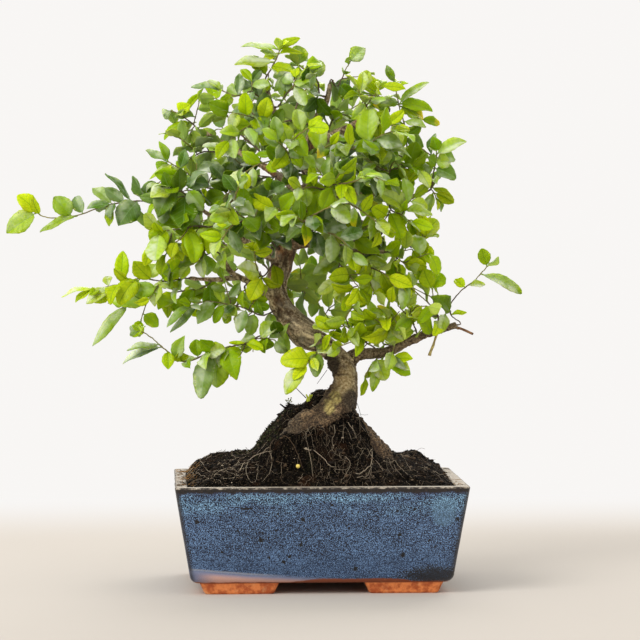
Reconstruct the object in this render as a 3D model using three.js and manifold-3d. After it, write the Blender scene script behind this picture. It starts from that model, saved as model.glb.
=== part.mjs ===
// A sageretia bonsai in its glazed pot. Millimetres, +Z up, +X to the right and +Y away from the front.
// Everything is laid out round the pot's middle and shifted at the end to the middle of the footprint.
import * as THREE from 'three';
import Module from 'manifold-3d';

const wasm = await Module();
wasm.setup();

// Pot: a tapered rectangle of stoneware on four feet.
const RIM_WIDTH = 200;
const RIM_DEPTH = 150;
const RIM_HEIGHT = 74;
const BASE_WIDTH = 178;
const BASE_DEPTH = 126;
const FOOT_HEIGHT = 7.6;
const WALL = 8.5;
const FLOOR = 7.6;
const CORNER_RADIUS = 4;
const INNER_CORNER = 1.5;
const BASE_ROUND = 5;
const LIP_ROUND = 1.2;
const FLOOR_ROUND = 4;
const FOOT_INNER = 29;
const FOOT_OUTER = 83;
const FOOT_FRONT = 60;
const FOOT_BACK = 27;
const FOOT_TAPER = 3.5;
const FOOT_CORNER = 3;
const DRAIN_RADIUS = 7.5;
const DRAIN_SPACING = 84;

// Drainage screens: plastic mesh squares over the two holes.
const SCREEN_SIDE = 24;
const SCREEN_THICK = 1;
const SCREEN_CELL = 5;
const SCREEN_PITCH = 6.4;

// Soil: heaped to the root base and lower in the corners.
const SOIL_EDGE = 73;
const SOIL_DOME = 19;
const SOIL_CORNER_DROP = 7;
const MOUND_PEAK = 42;
const MOUND_X = 8;
const MOUND_Y = 4;
const MOUND_LEFT = 68;
const MOUND_RIGHT = 40;
const MOUND_FRONT = 62;
const MOUND_BACK = 44;
const MOUND_SHOULDER = 1.5;
const SOIL_LUMPS = 0.9;
const SOIL_GRID_X = 18;
const SOIL_GRID_Y = 12;

// Clearance between pieces that touch, and thickness of a leaf blade.
const GAP = 0.3;
const WOOD_GAP = 0.4;
const BLADE = 0.68;

// How far a cutter runs past the face that it cuts, and how much of a shape a tidied solid may lose.
const PAST = 2;
const TIDY = 0.2;

// Wood: sides and unevenness of its sections, and the thickness of the finest twigs.
const STEM_SIDES = 10;
const LIMB_SIDES = 8;
const SCAR_SIDES = 6;
const BRANCH_SIDES = 5;
const STEM_WOBBLE = 0.07;
const SCAR_WOBBLE = 0.1;
const TWIG_TIP = 0.55;
const SIDE_TWIG = 0.75;
const SIDE_TWIG_TIP = 0.5;
const TWIG_FULLNESS = 1.3;
const TWIG_COLLAR = 2.5;

// Foliage rules. The crown's middle is what the leaves turn away from.
const CROWN_MIDDLE = new THREE.Vector3(-14, 0, 262);
const LEAF_ARCH = 0.06;
const LEAF_FOLD = 0.16;
const TINY_LEAF = 12.5;
const LARGE_LEAF = 24;
const LEAF_TRIES = 9;
const TIP_STEP = 3;
const LEAF_CLEARANCE = 4.2;
const SISTER_CLEARANCE = 2.4;
const WOOD_CLEARANCE = 2.9;
const SAMPLE_STEP = 2.4;
const SISTER_ROOT = 0.3;
const FIRST_LEAF = 9;
const LAST_FIRST_SHARE = 0.5;
const FACE_OUT = 0.8;
const FACE_UP = 0.6;
const FACE_SCATTER = 0.9;
const END_SPREAD = [0.1, 0.6];
const SIDE_SPREAD = [0.7, 1.25];
const SPREAD_STEP = 0.12;
const LEAF_LIFT = [-0.2, 0.3];
const LEAF_DROOP = 0.45;
const LENGTH_SPAN = [0.72, 1.14];
const TIP_SHRINK = 0.22;
const WIDTH_SPAN = [0.6, 0.72];
const DRAWS_PER_TRY = 7;
const SPRAY_SEED = 7919;

// The whole is moved so that the middle of its footprint box is the origin.
const FOOTPRINT_SHIFT = new THREE.Vector3(36, -3.4, 0);

// Wood: routes as [x, y, z, radius].
const STEM = [
  [17, 0, 123, 9.8], [19, 0, 132, 9.4], [20, 0, 142, 8.8], [18, 0, 152, 8.6],
  [12, -1, 161, 7], [2, -2, 168, 7.4], [-9, -3, 175, 9.6], [-20, -2, 186, 8.3],
  [-27, 0, 197, 7.4], [-29, 1, 209, 7.3], [-25, 2, 223, 7.9], [-23, 1, 238, 8.6],
];
const LEADER = [
  [-25, 4, 220, 6.6], [-18, 12, 240, 6.2], [-10, 14, 257, 5.8], [-5, 12, 275, 5.4],
  [-5, 8, 294, 4.8], [-4, 5, 310, 4], [1, 4, 325, 3.2], [6, 3, 336, 2.4],
  [9, 3, 349, 1.5],
];
const ROOTS = {
  buttress_left: [
    [18, 0, 131, 8], [10, -7, 126, 10.5], [2, -13, 119, 12], [-7, -19, 111, 11.5],
    [-16, -24, 103, 8.5], [-24, -28, 94, 4.5],
  ],
  root_right: [
    [22, 0, 124, 7], [23, -6, 116, 7.5], [28, -11, 106.5, 8], [35, -15, 98.5, 8.5],
    [41, -19, 91, 9], [43, -22, 81.5, 8], [42, -24, 72, 6],
  ],
  root_back_left: [[17, 2, 125, 7], [7, 20, 112, 8.5], [-7, 35, 94, 6.5], [-16, 44, 76, 3.5]],
  root_back_right: [[20, 2, 124, 6.5], [29, 20, 109, 6.5], [37, 35, 90, 5], [40, 43, 72, 3]],
};
const SCARS = {
  burr: [[21, -3, 136, 3], [24, -5, 130, 5.6], [24, -6, 122, 6], [22, -5, 115, 4]],
  snag: [[17, -2, 158, 4.2], [12, -6, 153, 3.4], [8, -8, 145, 1.4]],
};
const BRANCHES = {
  right_main: [
    [20, 0, 152, 4.8], [26, -2, 159, 3.7], [38, -6, 161, 2.8], [50, -9, 163, 2.5],
    [60, -12, 168, 2.4], [71, -14, 173, 2.2], [85, -15, 178, 2], [96, -15, 181, 1.7],
  ],
  right_twig: [[93, -15, 180, 1.1], [100, -17, 178, 0.8], [107, -20, 175, 0.7]],
  left_low: [
    [-32, -3, 200, 3], [-43, -10, 208, 2.2], [-54, -15, 214, 2], [-62, -18, 219, 1.8],
    [-66, -20, 227, 1.5],
  ],
  left_low_side: [[-56, -15, 214, 1.7], [-73, -22, 213, 1.4], [-89, -26, 214, 1.1]],
  left_cut: [[-29, 0, 225, 2.6], [-49, -18, 238, 1.8], [-71, -28, 253, 1.5], [-88, -34, 267, 1.2]],
  left_mid: [[-13, 12, 250, 3.4], [-34, 2, 258, 2.7], [-56, -8, 265, 2.2], [-78, -14, 270, 1.5]],
  left_high: [[-6, 11, 271, 3.4], [-31, 20, 288, 2.6], [-56, 28, 303, 2], [-79, 30, 316, 1.3]],
  top_left: [
    [-5, 8, 290, 3.2], [-19, -8, 308, 2.5], [-28, -14, 324, 2.1], [-34, -16, 338, 1.7],
    [-36, -16, 349, 1.2],
  ],
  right_high: [[-4, 6, 303, 3], [12, -10, 314, 2.4], [30, -18, 322, 2], [46, -20, 328, 1.3]],
  right_mid: [
    [-9, 13, 262, 3.4], [12, -6, 271, 2.8], [35, -18, 273, 2.3], [59, -22, 269, 1.8],
    [73, -22, 273, 1.3],
  ],
  right_knot: [
    [-11, 14, 253, 3.2], [13, 16, 253, 2.5], [39, 8, 250, 2.1], [58, -4, 243, 1.9],
    [63, -8, 237, 1.3],
  ],
  right_low: [
    [-22, 2, 235, 3.2], [-6, -8, 238, 2.4], [9, -14, 237, 2], [27, -20, 232, 1.7],
    [45, -22, 232, 1.2],
  ],
};
const SPRAYS = [
  {
    name: 'left_long', on: 'left_mid', at: 1, radius: 0.9, size: 18, leaves: 5, tone: 'mature',
    stem: [
      [-99, -18, 266], [-123, -22, 267], [-146, -24, 264], [-167, -24, 257], [-188, -24, 256],
      [-194, -24, 259],
    ],
    placed: [
      [1, [-215, -26, 246], 15, 1], [1, [-207, -22, 271], 12, 1], [0.76, [-192, -28, 247], 8, 0.5],
      [0.79, [-182, -22, 270], 13, 1], [0.56, [-159, -30, 263], 8, 0.7], [0.55, [-156, -18, 275], 9, 0.7],
      [0.4, [-138, -30, 249], 17, 1], [0.44, [-148, -22, 285], 8, 0.3], [0.33, [-115, -20, 281], 13, 0.8],
    ],
  },
  {
    name: 'left_crest', on: 'left_mid', at: 0.8, radius: 0.9, size: 17, leaves: 5, tone: 'fresh',
    stem: [[-79, -16, 277], [-92, -22, 287], [-104, -26, 294]],
    placed: [
      [1, [-120, -28, 300], 8, 0.5], [1, [-109, -26, 307], 6, 0.8], [0.8, [-116, -30, 287], 8, 0.5],
    ],
  },
  {
    name: 'left_face', on: 'left_cut', at: 1, radius: 0.9, size: 18, leaves: 3, tone: 'mature',
    stem: [[-93, -38, 272], [-101, -42, 276]],
    placed: [
      [0.35, [-94, -46, 246], 19, 1], [0.9, [-111, -46, 256], 16, 0.9], [1, [-116, -44, 270], 14, 0.8],
    ],
  },
  {
    name: 'left_hollow', on: 'left_cut', at: 0.72, radius: 0.9, size: 19, leaves: 5, tone: 'fresh',
    stem: [[-84, -36, 250], [-96, -42, 248], [-109, -46, 246]],
    side: [
      [0.5, [[-97, -50, 240], [-104, -52, 236]], 1],
    ],
    placed: [
      [0.9, [-114, -50, 236], 16, 0.8],
    ],
  },
  {
    name: 'left_arm', on: 'left_low_side', at: 1, radius: 0.9, size: 17, leaves: 3, tone: 'young',
    stem: [[-106, -28, 212], [-123, -30, 214], [-142, -30, 209], [-155, -30, 207]],
    placed: [
      [0.72, [-135, -28, 233], 10, 1], [1, [-177, -30, 201], 6, 0.4], [1, [-167, -34, 197], 7, 0.5],
      [0.82, [-160, -36, 197], 10, 0.8], [0.55, [-138, -36, 197], 14, 0.9], [0.3, [-90, -30, 229], 14, 1],
      [0.42, [-112, -26, 225], 13, 0.9], [0.22, [-103, -36, 207], 14, 1], [0.2, [-99, -40, 220], 13, 1],
    ],
  },
  {
    name: 'left_arm_low', on: 'left_low_side', at: 0.55, radius: 0.9, size: 17, leaves: 3, tone: 'fresh',
    stem: [[-81, -12, 207], [-99, -8, 204], [-117, -6, 199], [-131, -6, 196]],
    placed: [
      [1, [-157, -8, 167], 9, 0.8], [0.8, [-142, -10, 199], 14, 0.8], [0.5, [-111, -14, 192], 12, 0.7],
    ],
  },
  {
    name: 'left_thread', on: 'stem', at: 0.66, radius: 0.8, size: 13, leaves: 0, tone: 'mature',
    stem: [[-39, -14, 188], [-51, -18, 193], [-64, -20, 196], [-78, -22, 198], [-89, -24, 195]],
    placed: [
      [0.28, [-48, -20, 175], 10, 1], [0.38, [-56, -20, 177], 9, 0.9], [0.62, [-73, -24, 184], 7, 0.8],
      [0.74, [-84, -24, 183], 11, 1], [0.9, [-103, -26, 177], 6, 0.8], [0.97, [-105, -24, 184], 6, 0.7],
      [0.5, [-64, -16, 188], 11, 0.8], [1, [-96, -26, 199], 7, 0.8],
    ],
  },
  {
    name: 'left_skirt', on: 'left_low', at: 0.45, radius: 0.9, size: 16, leaves: 3, tone: 'fresh',
    stem: [[-51, -6, 205], [-62, 2, 204], [-76, 8, 204]],
    side: [
      [0.4, [[-54, 6, 197], [-59, 8, 190]], 1],
    ],
    placed: [
      [1, [-96, 6, 200], 13, 0.8], [0.7, [-78, 4, 194], 12, 0.9],
    ],
  },
  {
    name: 'low_left', on: 'stem', at: 0.58, radius: 0.9, size: 16, leaves: 3, tone: 'fresh',
    stem: [
      [-27, -16, 176], [-39, -20, 175], [-48, -22, 170], [-65, -26, 166], [-80, -28, 161],
      [-93, -30, 157], [-106, -32, 165], [-116, -33, 174], [-123, -34, 178],
    ],
    placed: [
      [0.22, [-44, -26, 156], 16, 1], [0.3, [-39, -20, 166], 8, 0.6], [0.36, [-57, -24, 171], 11, 0.9],
      [0.46, [-71, -30, 139], 19, 1], [0.42, [-58, -34, 148], 15, 1], [0.52, [-82, -30, 132], 15, 0.9],
      [0.56, [-66, -30, 167], 11, 0.9], [0.6, [-85, -26, 172], 10, 0.9], [0.7, [-96, -34, 164], 11, 0.9],
      [0.74, [-99, -30, 157], 9, 0.6], [0.84, [-136, -34, 159], 8, 0.7], [0.86, [-132, -30, 167], 8, 0.5],
      [1, [-129, -34, 182], 5, 0.8], [1, [-121, -32, 183], 5, 0.8], [0.66, [-111, -30, 154], 6, 0.5],
    ],
  },
  {
    name: 'left_elbow', on: 'left_low', at: 1, radius: 0.9, size: 16, leaves: 5, tone: 'fresh',
    stem: [[-73, -26, 233], [-84, -30, 236], [-94, -30, 238]],
    side: [
      [0.5, [[-82, -34, 227], [-89, -36, 223]], 1],
    ],
  },
  {
    name: 'pale_leaf', on: 'stem', at: 0.88, radius: 0.9, size: 16, leaves: 1, tone: 'mature',
    stem: [[-39, -18, 215], [-44, -28, 225], [-45, -34, 233]],
    placed: [
      [0.55, [-58, -34, 221], 14, 1], [1, [-52, -34, 238], 9, 0.5],
    ],
  },
  {
    name: 'front_left', on: 'stem', at: 0.97, radius: 1.3, size: 18, leaves: 5, tone: 'mature',
    stem: [[-36, -30, 243], [-49, -52, 253], [-59, -74, 259], [-66, -88, 263]],
    side: [
      [0.4, [[-40, -50, 259], [-35, -60, 267], [-34, -66, 274]], 3],
      [0.62, [[-61, -66, 250], [-68, -74, 241]], 3],
      [0.8, [[-59, -82, 270], [-56, -88, 278]], 3],
    ],
  },
  {
    name: 'front_low', on: 'stem', at: 1, radius: 1.3, size: 18, leaves: 5, tone: 'mature',
    stem: [[-13, -26, 246], [-10, -52, 250], [-14, -76, 253], [-20, -92, 257]],
    side: [
      [0.38, [[3, -48, 246], [14, -58, 240], [19, -62, 232]], 5],
      [0.6, [[-23, -64, 258], [-32, -74, 262]], 3],
      [0.8, [[-4, -84, 259], [4, -92, 263]], 3],
    ],
  },
  {
    name: 'front_mid', on: 'leader', at: 0.42, radius: 1.3, size: 18, leaves: 5, tone: 'fresh',
    stem: [[-1, -18, 266], [3, -48, 272], [6, -74, 278], [10, -92, 285]],
    side: [
      [0.4, [[19, -44, 265], [29, -52, 259], [37, -58, 253]], 5],
      [0.62, [[-6, -62, 276], [-16, -74, 275]], 3],
      [0.8, [[17, -84, 279], [26, -92, 282]], 3],
    ],
  },
  {
    name: 'front_high', on: 'leader', at: 0.52, radius: 1.3, size: 18, leaves: 5, tone: 'fresh',
    stem: [[-12, -20, 288], [-20, -48, 296], [-25, -74, 301], [-31, -92, 306]],
    side: [
      [0.4, [[-3, -44, 300], [6, -54, 305]], 3],
      [0.6, [[-33, -62, 294], [-44, -72, 291], [-52, -76, 286]], 3],
      [0.82, [[-19, -84, 309], [-11, -88, 315]], 3],
    ],
  },
  {
    name: 'crown_tip_left', on: 'top_left', at: 1, radius: 0.9, size: 16, leaves: 5, tone: 'young',
    stem: [[-34, -16, 356], [-29, -16, 366], [-27, -16, 371]],
    placed: [
      [1, [-54, -18, 372], 9, 0.5], [0.6, [-58, -18, 363], 11, 0.6], [1, [-13, -14, 381], 8, 0.8],
      [0.9, [-11, -18, 371], 6, 0.5], [0.8, [-39, -22, 367], 9, 0.7],
    ],
  },
  {
    name: 'crown_middle', on: 'leader', at: 0.93, radius: 0.9, size: 16, leaves: 5, tone: 'fresh',
    stem: [[0, 0, 351], [-7, -4, 357], [-13, -6, 361]],
    placed: [
      [1, [-15, -8, 375], 13, 1], [0.5, [2, -2, 365], 10, 0.8],
    ],
  },
  {
    name: 'lone_leaf', on: 'leader', at: 1, radius: 0.8, size: 15, leaves: 0, tone: 'fresh',
    stem: [[13, 4, 347], [17, 4, 352], [20, 4, 359], [23, 4, 364]],
    placed: [
      [1, [32, 2, 375], 12, 0.8], [0.2, [24, 0, 343], 14, 0.8], [0.15, [6, -8, 339], 13, 0.8],
    ],
  },
  {
    name: 'crown_back_left', on: 'top_left', at: 0.78, radius: 0.9, size: 16, leaves: 3, tone: 'mature',
    stem: [[-46, -24, 342], [-57, -28, 339], [-68, -30, 343]],
    placed: [
      [1, [-88, -30, 346], 7, 0.5], [1, [-76, -28, 350], 7, 0.5], [0.7, [-55, -26, 355], 7, 0.7],
    ],
  },
  {
    name: 'crown_left', on: 'top_left', at: 0.5, radius: 0.9, size: 18, leaves: 5, tone: 'fresh',
    stem: [[-40, -32, 322], [-51, -42, 325], [-62, -48, 327]],
    side: [
      [0.5, [[-55, -52, 314], [-63, -56, 307]], 3],
    ],
  },
  {
    name: 'crown_front', on: 'top_left', at: 0.75, radius: 0.9, size: 17, leaves: 5, tone: 'fresh',
    stem: [[-23, -30, 340], [-15, -38, 347], [-10, -42, 349]],
  },
  {
    name: 'crown_lift', on: 'left_high', at: 0.5, radius: 0.9, size: 17, leaves: 5, tone: 'fresh',
    stem: [[-54, 34, 316], [-63, 34, 329], [-70, 32, 340]],
    side: [
      [0.5, [[-49, 40, 332], [-41, 44, 342]], 3],
    ],
  },
  {
    name: 'left_shoulder', on: 'left_high', at: 0.78, radius: 0.9, size: 17, leaves: 5, tone: 'fresh',
    stem: [[-79, 24, 302], [-90, 16, 296], [-101, 12, 290]],
    side: [
      [0.5, [[-89, 10, 306], [-96, 6, 311]], 3],
    ],
  },
  {
    name: 'left_high_tip', on: 'left_high', at: 1, radius: 0.9, size: 14, leaves: 5, tone: 'fresh',
    stem: [[-88, 30, 323], [-97, 30, 329], [-102, 30, 331]],
    placed: [
      [1, [-107, 30, 326], 8, 0.6], [0.8, [-89, 28, 336], 11, 0.9], [0.7, [-81, 30, 344], 5, 0.7],
      [0.4, [-108, 28, 315], 8, 0.6],
    ],
  },
  {
    name: 'left_inner', on: 'left_high', at: 0.3, radius: 0.9, size: 18, leaves: 5, tone: 'mature',
    stem: [[-43, 2, 285], [-54, -14, 286], [-66, -26, 281]],
    side: [
      [0.5, [[-57, -26, 295], [-66, -34, 302]], 3],
      [0.7, [[-60, -30, 275], [-67, -36, 268]], 3],
    ],
  },
  {
    name: 'right_spire', on: 'right_mid', at: 0.88, radius: 0.8, size: 15, leaves: 5, tone: 'fresh',
    stem: [[62, -22, 282], [61, -22, 302], [59, -22, 319], [55, -22, 334], [52, -22, 349]],
    placed: [
      [0.8, [74, -24, 351], 6, 0.6], [0.8, [78, -26, 332], 11, 0.8], [0.78, [74, -20, 326], 9, 0.8],
      [0.8, [38, -26, 336], 9, 0.7], [0.78, [39, -20, 331], 8, 0.7], [0.64, [74, -24, 319], 8, 0.6],
      [0.5, [72, -26, 306], 10, 0.8], [0.48, [49, -26, 301], 9, 0.8], [0.42, [76, -20, 297], 11, 0.8],
      [0.6, [49, -18, 312], 9, 0.8], [1, [50, -22, 353], 3, 0.8],
    ],
  },
  {
    name: 'right_flag', on: 'right_mid', at: 1, radius: 0.9, size: 14, leaves: 0, tone: 'fresh',
    stem: [[78, -24, 277], [79, -24, 286], [81, -24, 297], [81, -24, 302]],
    placed: [
      [0.9, [100, -26, 311], 9, 0.8], [0.62, [95, -24, 283], 12, 0.9], [0.72, [90, -26, 295], 12, 0.9],
      [0.7, [74, -30, 297], 11, 0.9], [0.2, [93, -22, 267], 7, 0.6], [0.1, [84, -30, 258], 9, 0.8],
      [0.15, [67, -26, 261], 10, 0.9], [0.35, [69, -20, 284], 10, 0.8], [1, [79, -24, 310], 9, 0.8],
    ],
  },
  {
    name: 'right_heart', on: 'right_high', at: 1, radius: 0.9, size: 15, leaves: 5, tone: 'young',
    stem: [[44, -18, 337], [40, -18, 342]],
    placed: [
      [1, [33, -18, 354], 9, 1], [1, [46, -18, 353], 9, 1], [0.7, [23, -16, 351], 6, 0.6],
    ],
  },
  {
    name: 'right_crown', on: 'right_high', at: 0.72, radius: 0.9, size: 17, leaves: 5, tone: 'young',
    stem: [[33, -28, 328], [29, -32, 338], [26, -34, 343]],
    side: [
      [0.4, [[44, -38, 320], [52, -42, 318]], 3],
    ],
  },
  {
    name: 'right_face', on: 'right_high', at: 0.5, radius: 0.9, size: 20, leaves: 5, tone: 'fresh',
    stem: [[22, -32, 307], [32, -42, 303], [43, -46, 302]],
    side: [
      [0.4, [[22, -50, 302], [15, -60, 304]], 3],
      [0.7, [[40, -52, 311], [48, -56, 314]], 3],
    ],
  },
  {
    name: 'right_inner', on: 'right_high', at: 0.3, radius: 0.9, size: 17, leaves: 5, tone: 'fresh',
    stem: [[11, -4, 325], [17, 0, 335], [23, 2, 340]],
    side: [
      [0.5, [[27, 6, 327], [36, 8, 331]], 3],
    ],
  },
  {
    name: 'right_wing', on: 'right_mid', at: 0.66, radius: 0.9, size: 18, leaves: 5, tone: 'fresh',
    stem: [[47, -28, 284], [51, -32, 294], [54, -40, 290]],
    side: [
      [0.5, [[38, -40, 291], [31, -46, 296]], 3],
    ],
  },
  {
    name: 'right_breast', on: 'right_mid', at: 0.48, radius: 0.9, size: 18, leaves: 5, tone: 'mature',
    stem: [[29, -36, 283], [20, -48, 289], [16, -56, 296]],
    side: [
      [0.5, [[34, -56, 284], [42, -62, 280]], 3],
    ],
  },
  {
    name: 'right_fall', on: 'right_mid', at: 0.74, radius: 0.9, size: 18, leaves: 5, tone: 'fresh',
    stem: [[49, -34, 261], [56, -42, 257], [61, -46, 253]],
    side: [
      [0.4, [[43, -48, 253], [39, -52, 246]], 3],
    ],
  },
  {
    name: 'right_knot_tip', on: 'right_knot', at: 1, radius: 0.9, size: 17, leaves: 3, tone: 'young',
    stem: [[69, -12, 240], [75, -14, 243]],
    placed: [
      [0.8, [83, -14, 254], 13, 1], [0.3, [80, -14, 224], 12, 0.9], [0.5, [75, -20, 230], 11, 0.9],
    ],
  },
  {
    name: 'right_knot_under', on: 'right_knot', at: 0.72, radius: 0.9, size: 18, leaves: 5, tone: 'fresh',
    stem: [[47, 2, 240], [41, -4, 232], [33, -8, 225]],
  },
  {
    name: 'right_low_tip', on: 'right_low', at: 1, radius: 0.9, size: 18, leaves: 5, tone: 'fresh',
    stem: [[53, -28, 228], [61, -32, 222]],
    side: [
      [0.4, [[53, -36, 218], [57, -40, 210]], 3],
    ],
  },
  {
    name: 'right_skirt', on: 'right_low', at: 0.8, radius: 0.9, size: 20, leaves: 5, tone: 'young',
    stem: [[35, -28, 222], [34, -34, 213], [37, -38, 205]],
    side: [
      [0.4, [[45, -42, 216], [50, -46, 209]], 3],
    ],
  },
  {
    name: 'right_curtain', on: 'right_low', at: 0.55, radius: 0.9, size: 18, leaves: 5, tone: 'fresh',
    stem: [[14, -24, 229], [13, -30, 220], [12, -34, 210]],
    side: [
      [0.5, [[20, -38, 216], [26, -42, 208]], 3],
    ],
  },
  {
    name: 'right_middle', on: 'right_low', at: 0.68, radius: 0.9, size: 18, leaves: 5, tone: 'young',
    stem: [[25, -30, 242], [30, -38, 248], [37, -42, 253]],
  },
  {
    name: 'right_long', on: 'right_main', at: 1, radius: 0.7, size: 15, leaves: 1, tone: 'young',
    stem: [[93, -16, 187], [91, -17, 193], [98, -18, 204], [108, -18, 212], [117, -18, 222]],
    placed: [
      [1, [113, -16, 234], 9, 0.9], [0.88, [143, -20, 207], 8, 0.8], [0.62, [95, -14, 213], 8, 0.8],
      [0.68, [115, -22, 210], 6, 0.6], [0.22, [103, -18, 189], 5, 0.5], [0.25, [81, -22, 201], 12, 0.9],
    ],
  },
  {
    name: 'right_rise', on: 'right_main', at: 0.86, radius: 0.9, size: 18, leaves: 3, tone: 'fresh',
    stem: [[83, -20, 186], [79, -26, 196], [78, -28, 206]],
    side: [
      [0.5, [[69, -32, 202], [63, -34, 207]], 3],
    ],
    placed: [
      [1, [85, -30, 217], 13, 1], [1, [71, -28, 221], 12, 1],
    ],
  },
  {
    name: 'right_bed', on: 'right_main', at: 0.68, radius: 0.9, size: 18, leaves: 5, tone: 'young',
    stem: [[66, -20, 181], [60, -26, 189], [54, -30, 195]],
    side: [
      [0.5, [[66, -34, 194], [73, -38, 195]], 3],
    ],
  },
  {
    name: 'right_bed_inner', on: 'right_main', at: 0.5, radius: 0.9, size: 18, leaves: 5, tone: 'young',
    stem: [[50, -16, 172], [44, -22, 181], [38, -26, 186]],
    side: [
      [0.5, [[50, -30, 187], [54, -34, 181]], 3],
    ],
  },
  {
    name: 'right_bed_back', on: 'right_main', at: 0.42, radius: 0.9, size: 17, leaves: 5, tone: 'fresh',
    stem: [[46, 6, 168], [52, 18, 178], [60, 28, 186]],
    side: [
      [0.5, [[40, 26, 179], [34, 34, 186]], 3],
    ],
  },
  {
    name: 'right_bed_trunk', on: 'right_main', at: 0.3, radius: 0.9, size: 17, leaves: 3, tone: 'fresh',
    stem: [[33, -16, 169], [24, -22, 177], [16, -26, 182]],
    side: [
      [0.4, [[22, -28, 170], [14, -32, 167]], 1],
      [0.6, [[18, -34, 187], [22, -38, 194]], 3],
    ],
  },
  {
    name: 'right_under', on: 'right_main', at: 0.36, radius: 0.7, size: 15, leaves: 0, tone: 'fresh',
    stem: [[40, -12, 157], [47, -14, 156], [54, -16, 157]],
    placed: [
      [0.7, [64, -18, 148], 11, 0.9], [0.1, [37, -14, 135], 8, 0.8], [0.3, [46, -14, 145], 13, 1],
      [0.05, [32, -10, 143], 9, 0.8], [0.9, [64, -14, 159], 10, 0.8],
    ],
  },
  {
    name: 'trunk_leaves', on: 'stem', at: 0.42, radius: 0.8, size: 15, leaves: 0, tone: 'young',
    stem: [[-1, -20, 163], [-5, -26, 159], [-9, -30, 155]],
    placed: [
      [0.8, [-25, -34, 159], 15, 1], [1, [-24, -34, 135], 12, 1], [0.1, [2, -26, 173], 11, 0.9],
      [0.5, [-3, -32, 148], 11, 1], [0.3, [10, -30, 163], 9, 0.9],
    ],
  },
  {
    name: 'back_high', on: 'leader', at: 0.6, radius: 1.3, size: 18, leaves: 5, tone: 'fresh',
    stem: [[2, 34, 304], [10, 62, 314], [15, 88, 324], [19, 102, 330]],
    side: [
      [0.35, [[22, 52, 310], [34, 64, 316]], 3],
      [0.55, [[-4, 70, 315], [-13, 82, 322]], 3],
      [0.75, [[27, 92, 333], [36, 98, 339]], 3],
    ],
  },
  {
    name: 'back_top', on: 'leader', at: 0.78, radius: 1.2, size: 17, leaves: 5, tone: 'fresh',
    stem: [[-8, 26, 322], [-16, 46, 334], [-22, 62, 343]],
    side: [
      [0.4, [[-30, 46, 324], [-41, 58, 327]], 3],
      [0.6, [[-7, 56, 346], [2, 64, 352]], 3],
    ],
  },
  {
    name: 'back_left', on: 'leader', at: 0.36, radius: 1.3, size: 18, leaves: 5, tone: 'mature',
    stem: [[-20, 42, 265], [-34, 66, 273], [-47, 86, 279], [-59, 96, 283]],
    side: [
      [0.35, [[-27, 60, 284], [-30, 70, 296]], 3],
      [0.5, [[-40, 78, 261], [-49, 88, 254]], 3],
      [0.7, [[-57, 92, 292], [-68, 98, 299]], 3],
    ],
  },
  {
    name: 'back_right', on: 'leader', at: 0.45, radius: 1.3, size: 18, leaves: 5, tone: 'fresh',
    stem: [[12, 38, 272], [31, 62, 277], [49, 84, 283], [61, 96, 286]],
    side: [
      [0.35, [[24, 56, 288], [31, 66, 299]], 3],
      [0.55, [[41, 74, 266], [52, 84, 260]], 3],
      [0.75, [[56, 90, 296], [66, 96, 304]], 3],
    ],
  },
  {
    name: 'back_low_left', on: 'stem', at: 0.82, radius: 1.3, size: 18, leaves: 5, tone: 'fresh',
    stem: [[-34, 30, 220], [-47, 54, 230], [-62, 74, 234], [-75, 86, 237]],
    side: [
      [0.3, [[-37, 52, 240], [-42, 62, 250]], 3],
      [0.5, [[-54, 68, 219], [-62, 76, 211]], 3],
      [0.75, [[-74, 84, 245], [-84, 90, 251]], 3],
    ],
  },
  {
    name: 'back_low_right', on: 'leader', at: 0.2, radius: 1.3, size: 18, leaves: 5, tone: 'fresh',
    stem: [[2, 34, 237], [21, 56, 234], [38, 76, 231], [51, 88, 229]],
    side: [
      [0.3, [[12, 52, 224], [18, 62, 214]], 3],
      [0.5, [[33, 70, 241], [41, 80, 248]], 3],
      [0.75, [[52, 86, 219], [61, 92, 212]], 3],
    ],
  },
  {
    name: 'back_under', on: 'stem', at: 0.8, radius: 1.1, size: 17, leaves: 5, tone: 'fresh',
    stem: [[-17, 26, 205], [-5, 50, 205], [7, 68, 203]],
    side: [
      [0.5, [[3, 56, 194], [10, 64, 185]], 3],
    ],
  },
];

// Vector helpers on plain [x, y, z] points.
function vec(point) {
  return new THREE.Vector3(point[0], point[1], point[2]);
}

function mix(a, b, share) {
  return a + (b - a) * share;
}

// A repeatable draw between 0 and 1 from a seed.
function drawsFrom(seed) {
  let state = seed % 4294967296;
  return () => {
    state = (state * 1664525 + 1013904223) % 4294967296;
    return state / 4294967296;
  };
}

// A closed solid from points and triangles whose faces point out.
function solid(points, triangles) {
  const vertProperties = new Float32Array(points.length * 3);
  points.forEach((point, i) => vertProperties.set([point.x, point.y, point.z], i * 3));
  const triVerts = new Uint32Array(triangles.flat());
  return new wasm.Manifold(new wasm.Mesh({ numProp: 3, vertProperties, triVerts }));
}

// A closed solid through a stack of rings that have the same number of points.
function loft(rings) {
  const count = rings[0].length;
  const triangles = [];
  for (let level = 0; level + 1 < rings.length; level += 1) {
    for (let i = 0; i < count; i += 1) {
      const next = (i + 1) % count;
      const low = level * count;
      const high = low + count;
      triangles.push([low + i, low + next, high + next], [low + i, high + next, high + i]);
    }
  }
  const top = (rings.length - 1) * count;
  for (let i = 1; i + 1 < count; i += 1) {
    triangles.push([0, i + 1, i], [top, top + i, top + i + 1]);
  }
  return solid(rings.flat(), triangles);
}

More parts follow.
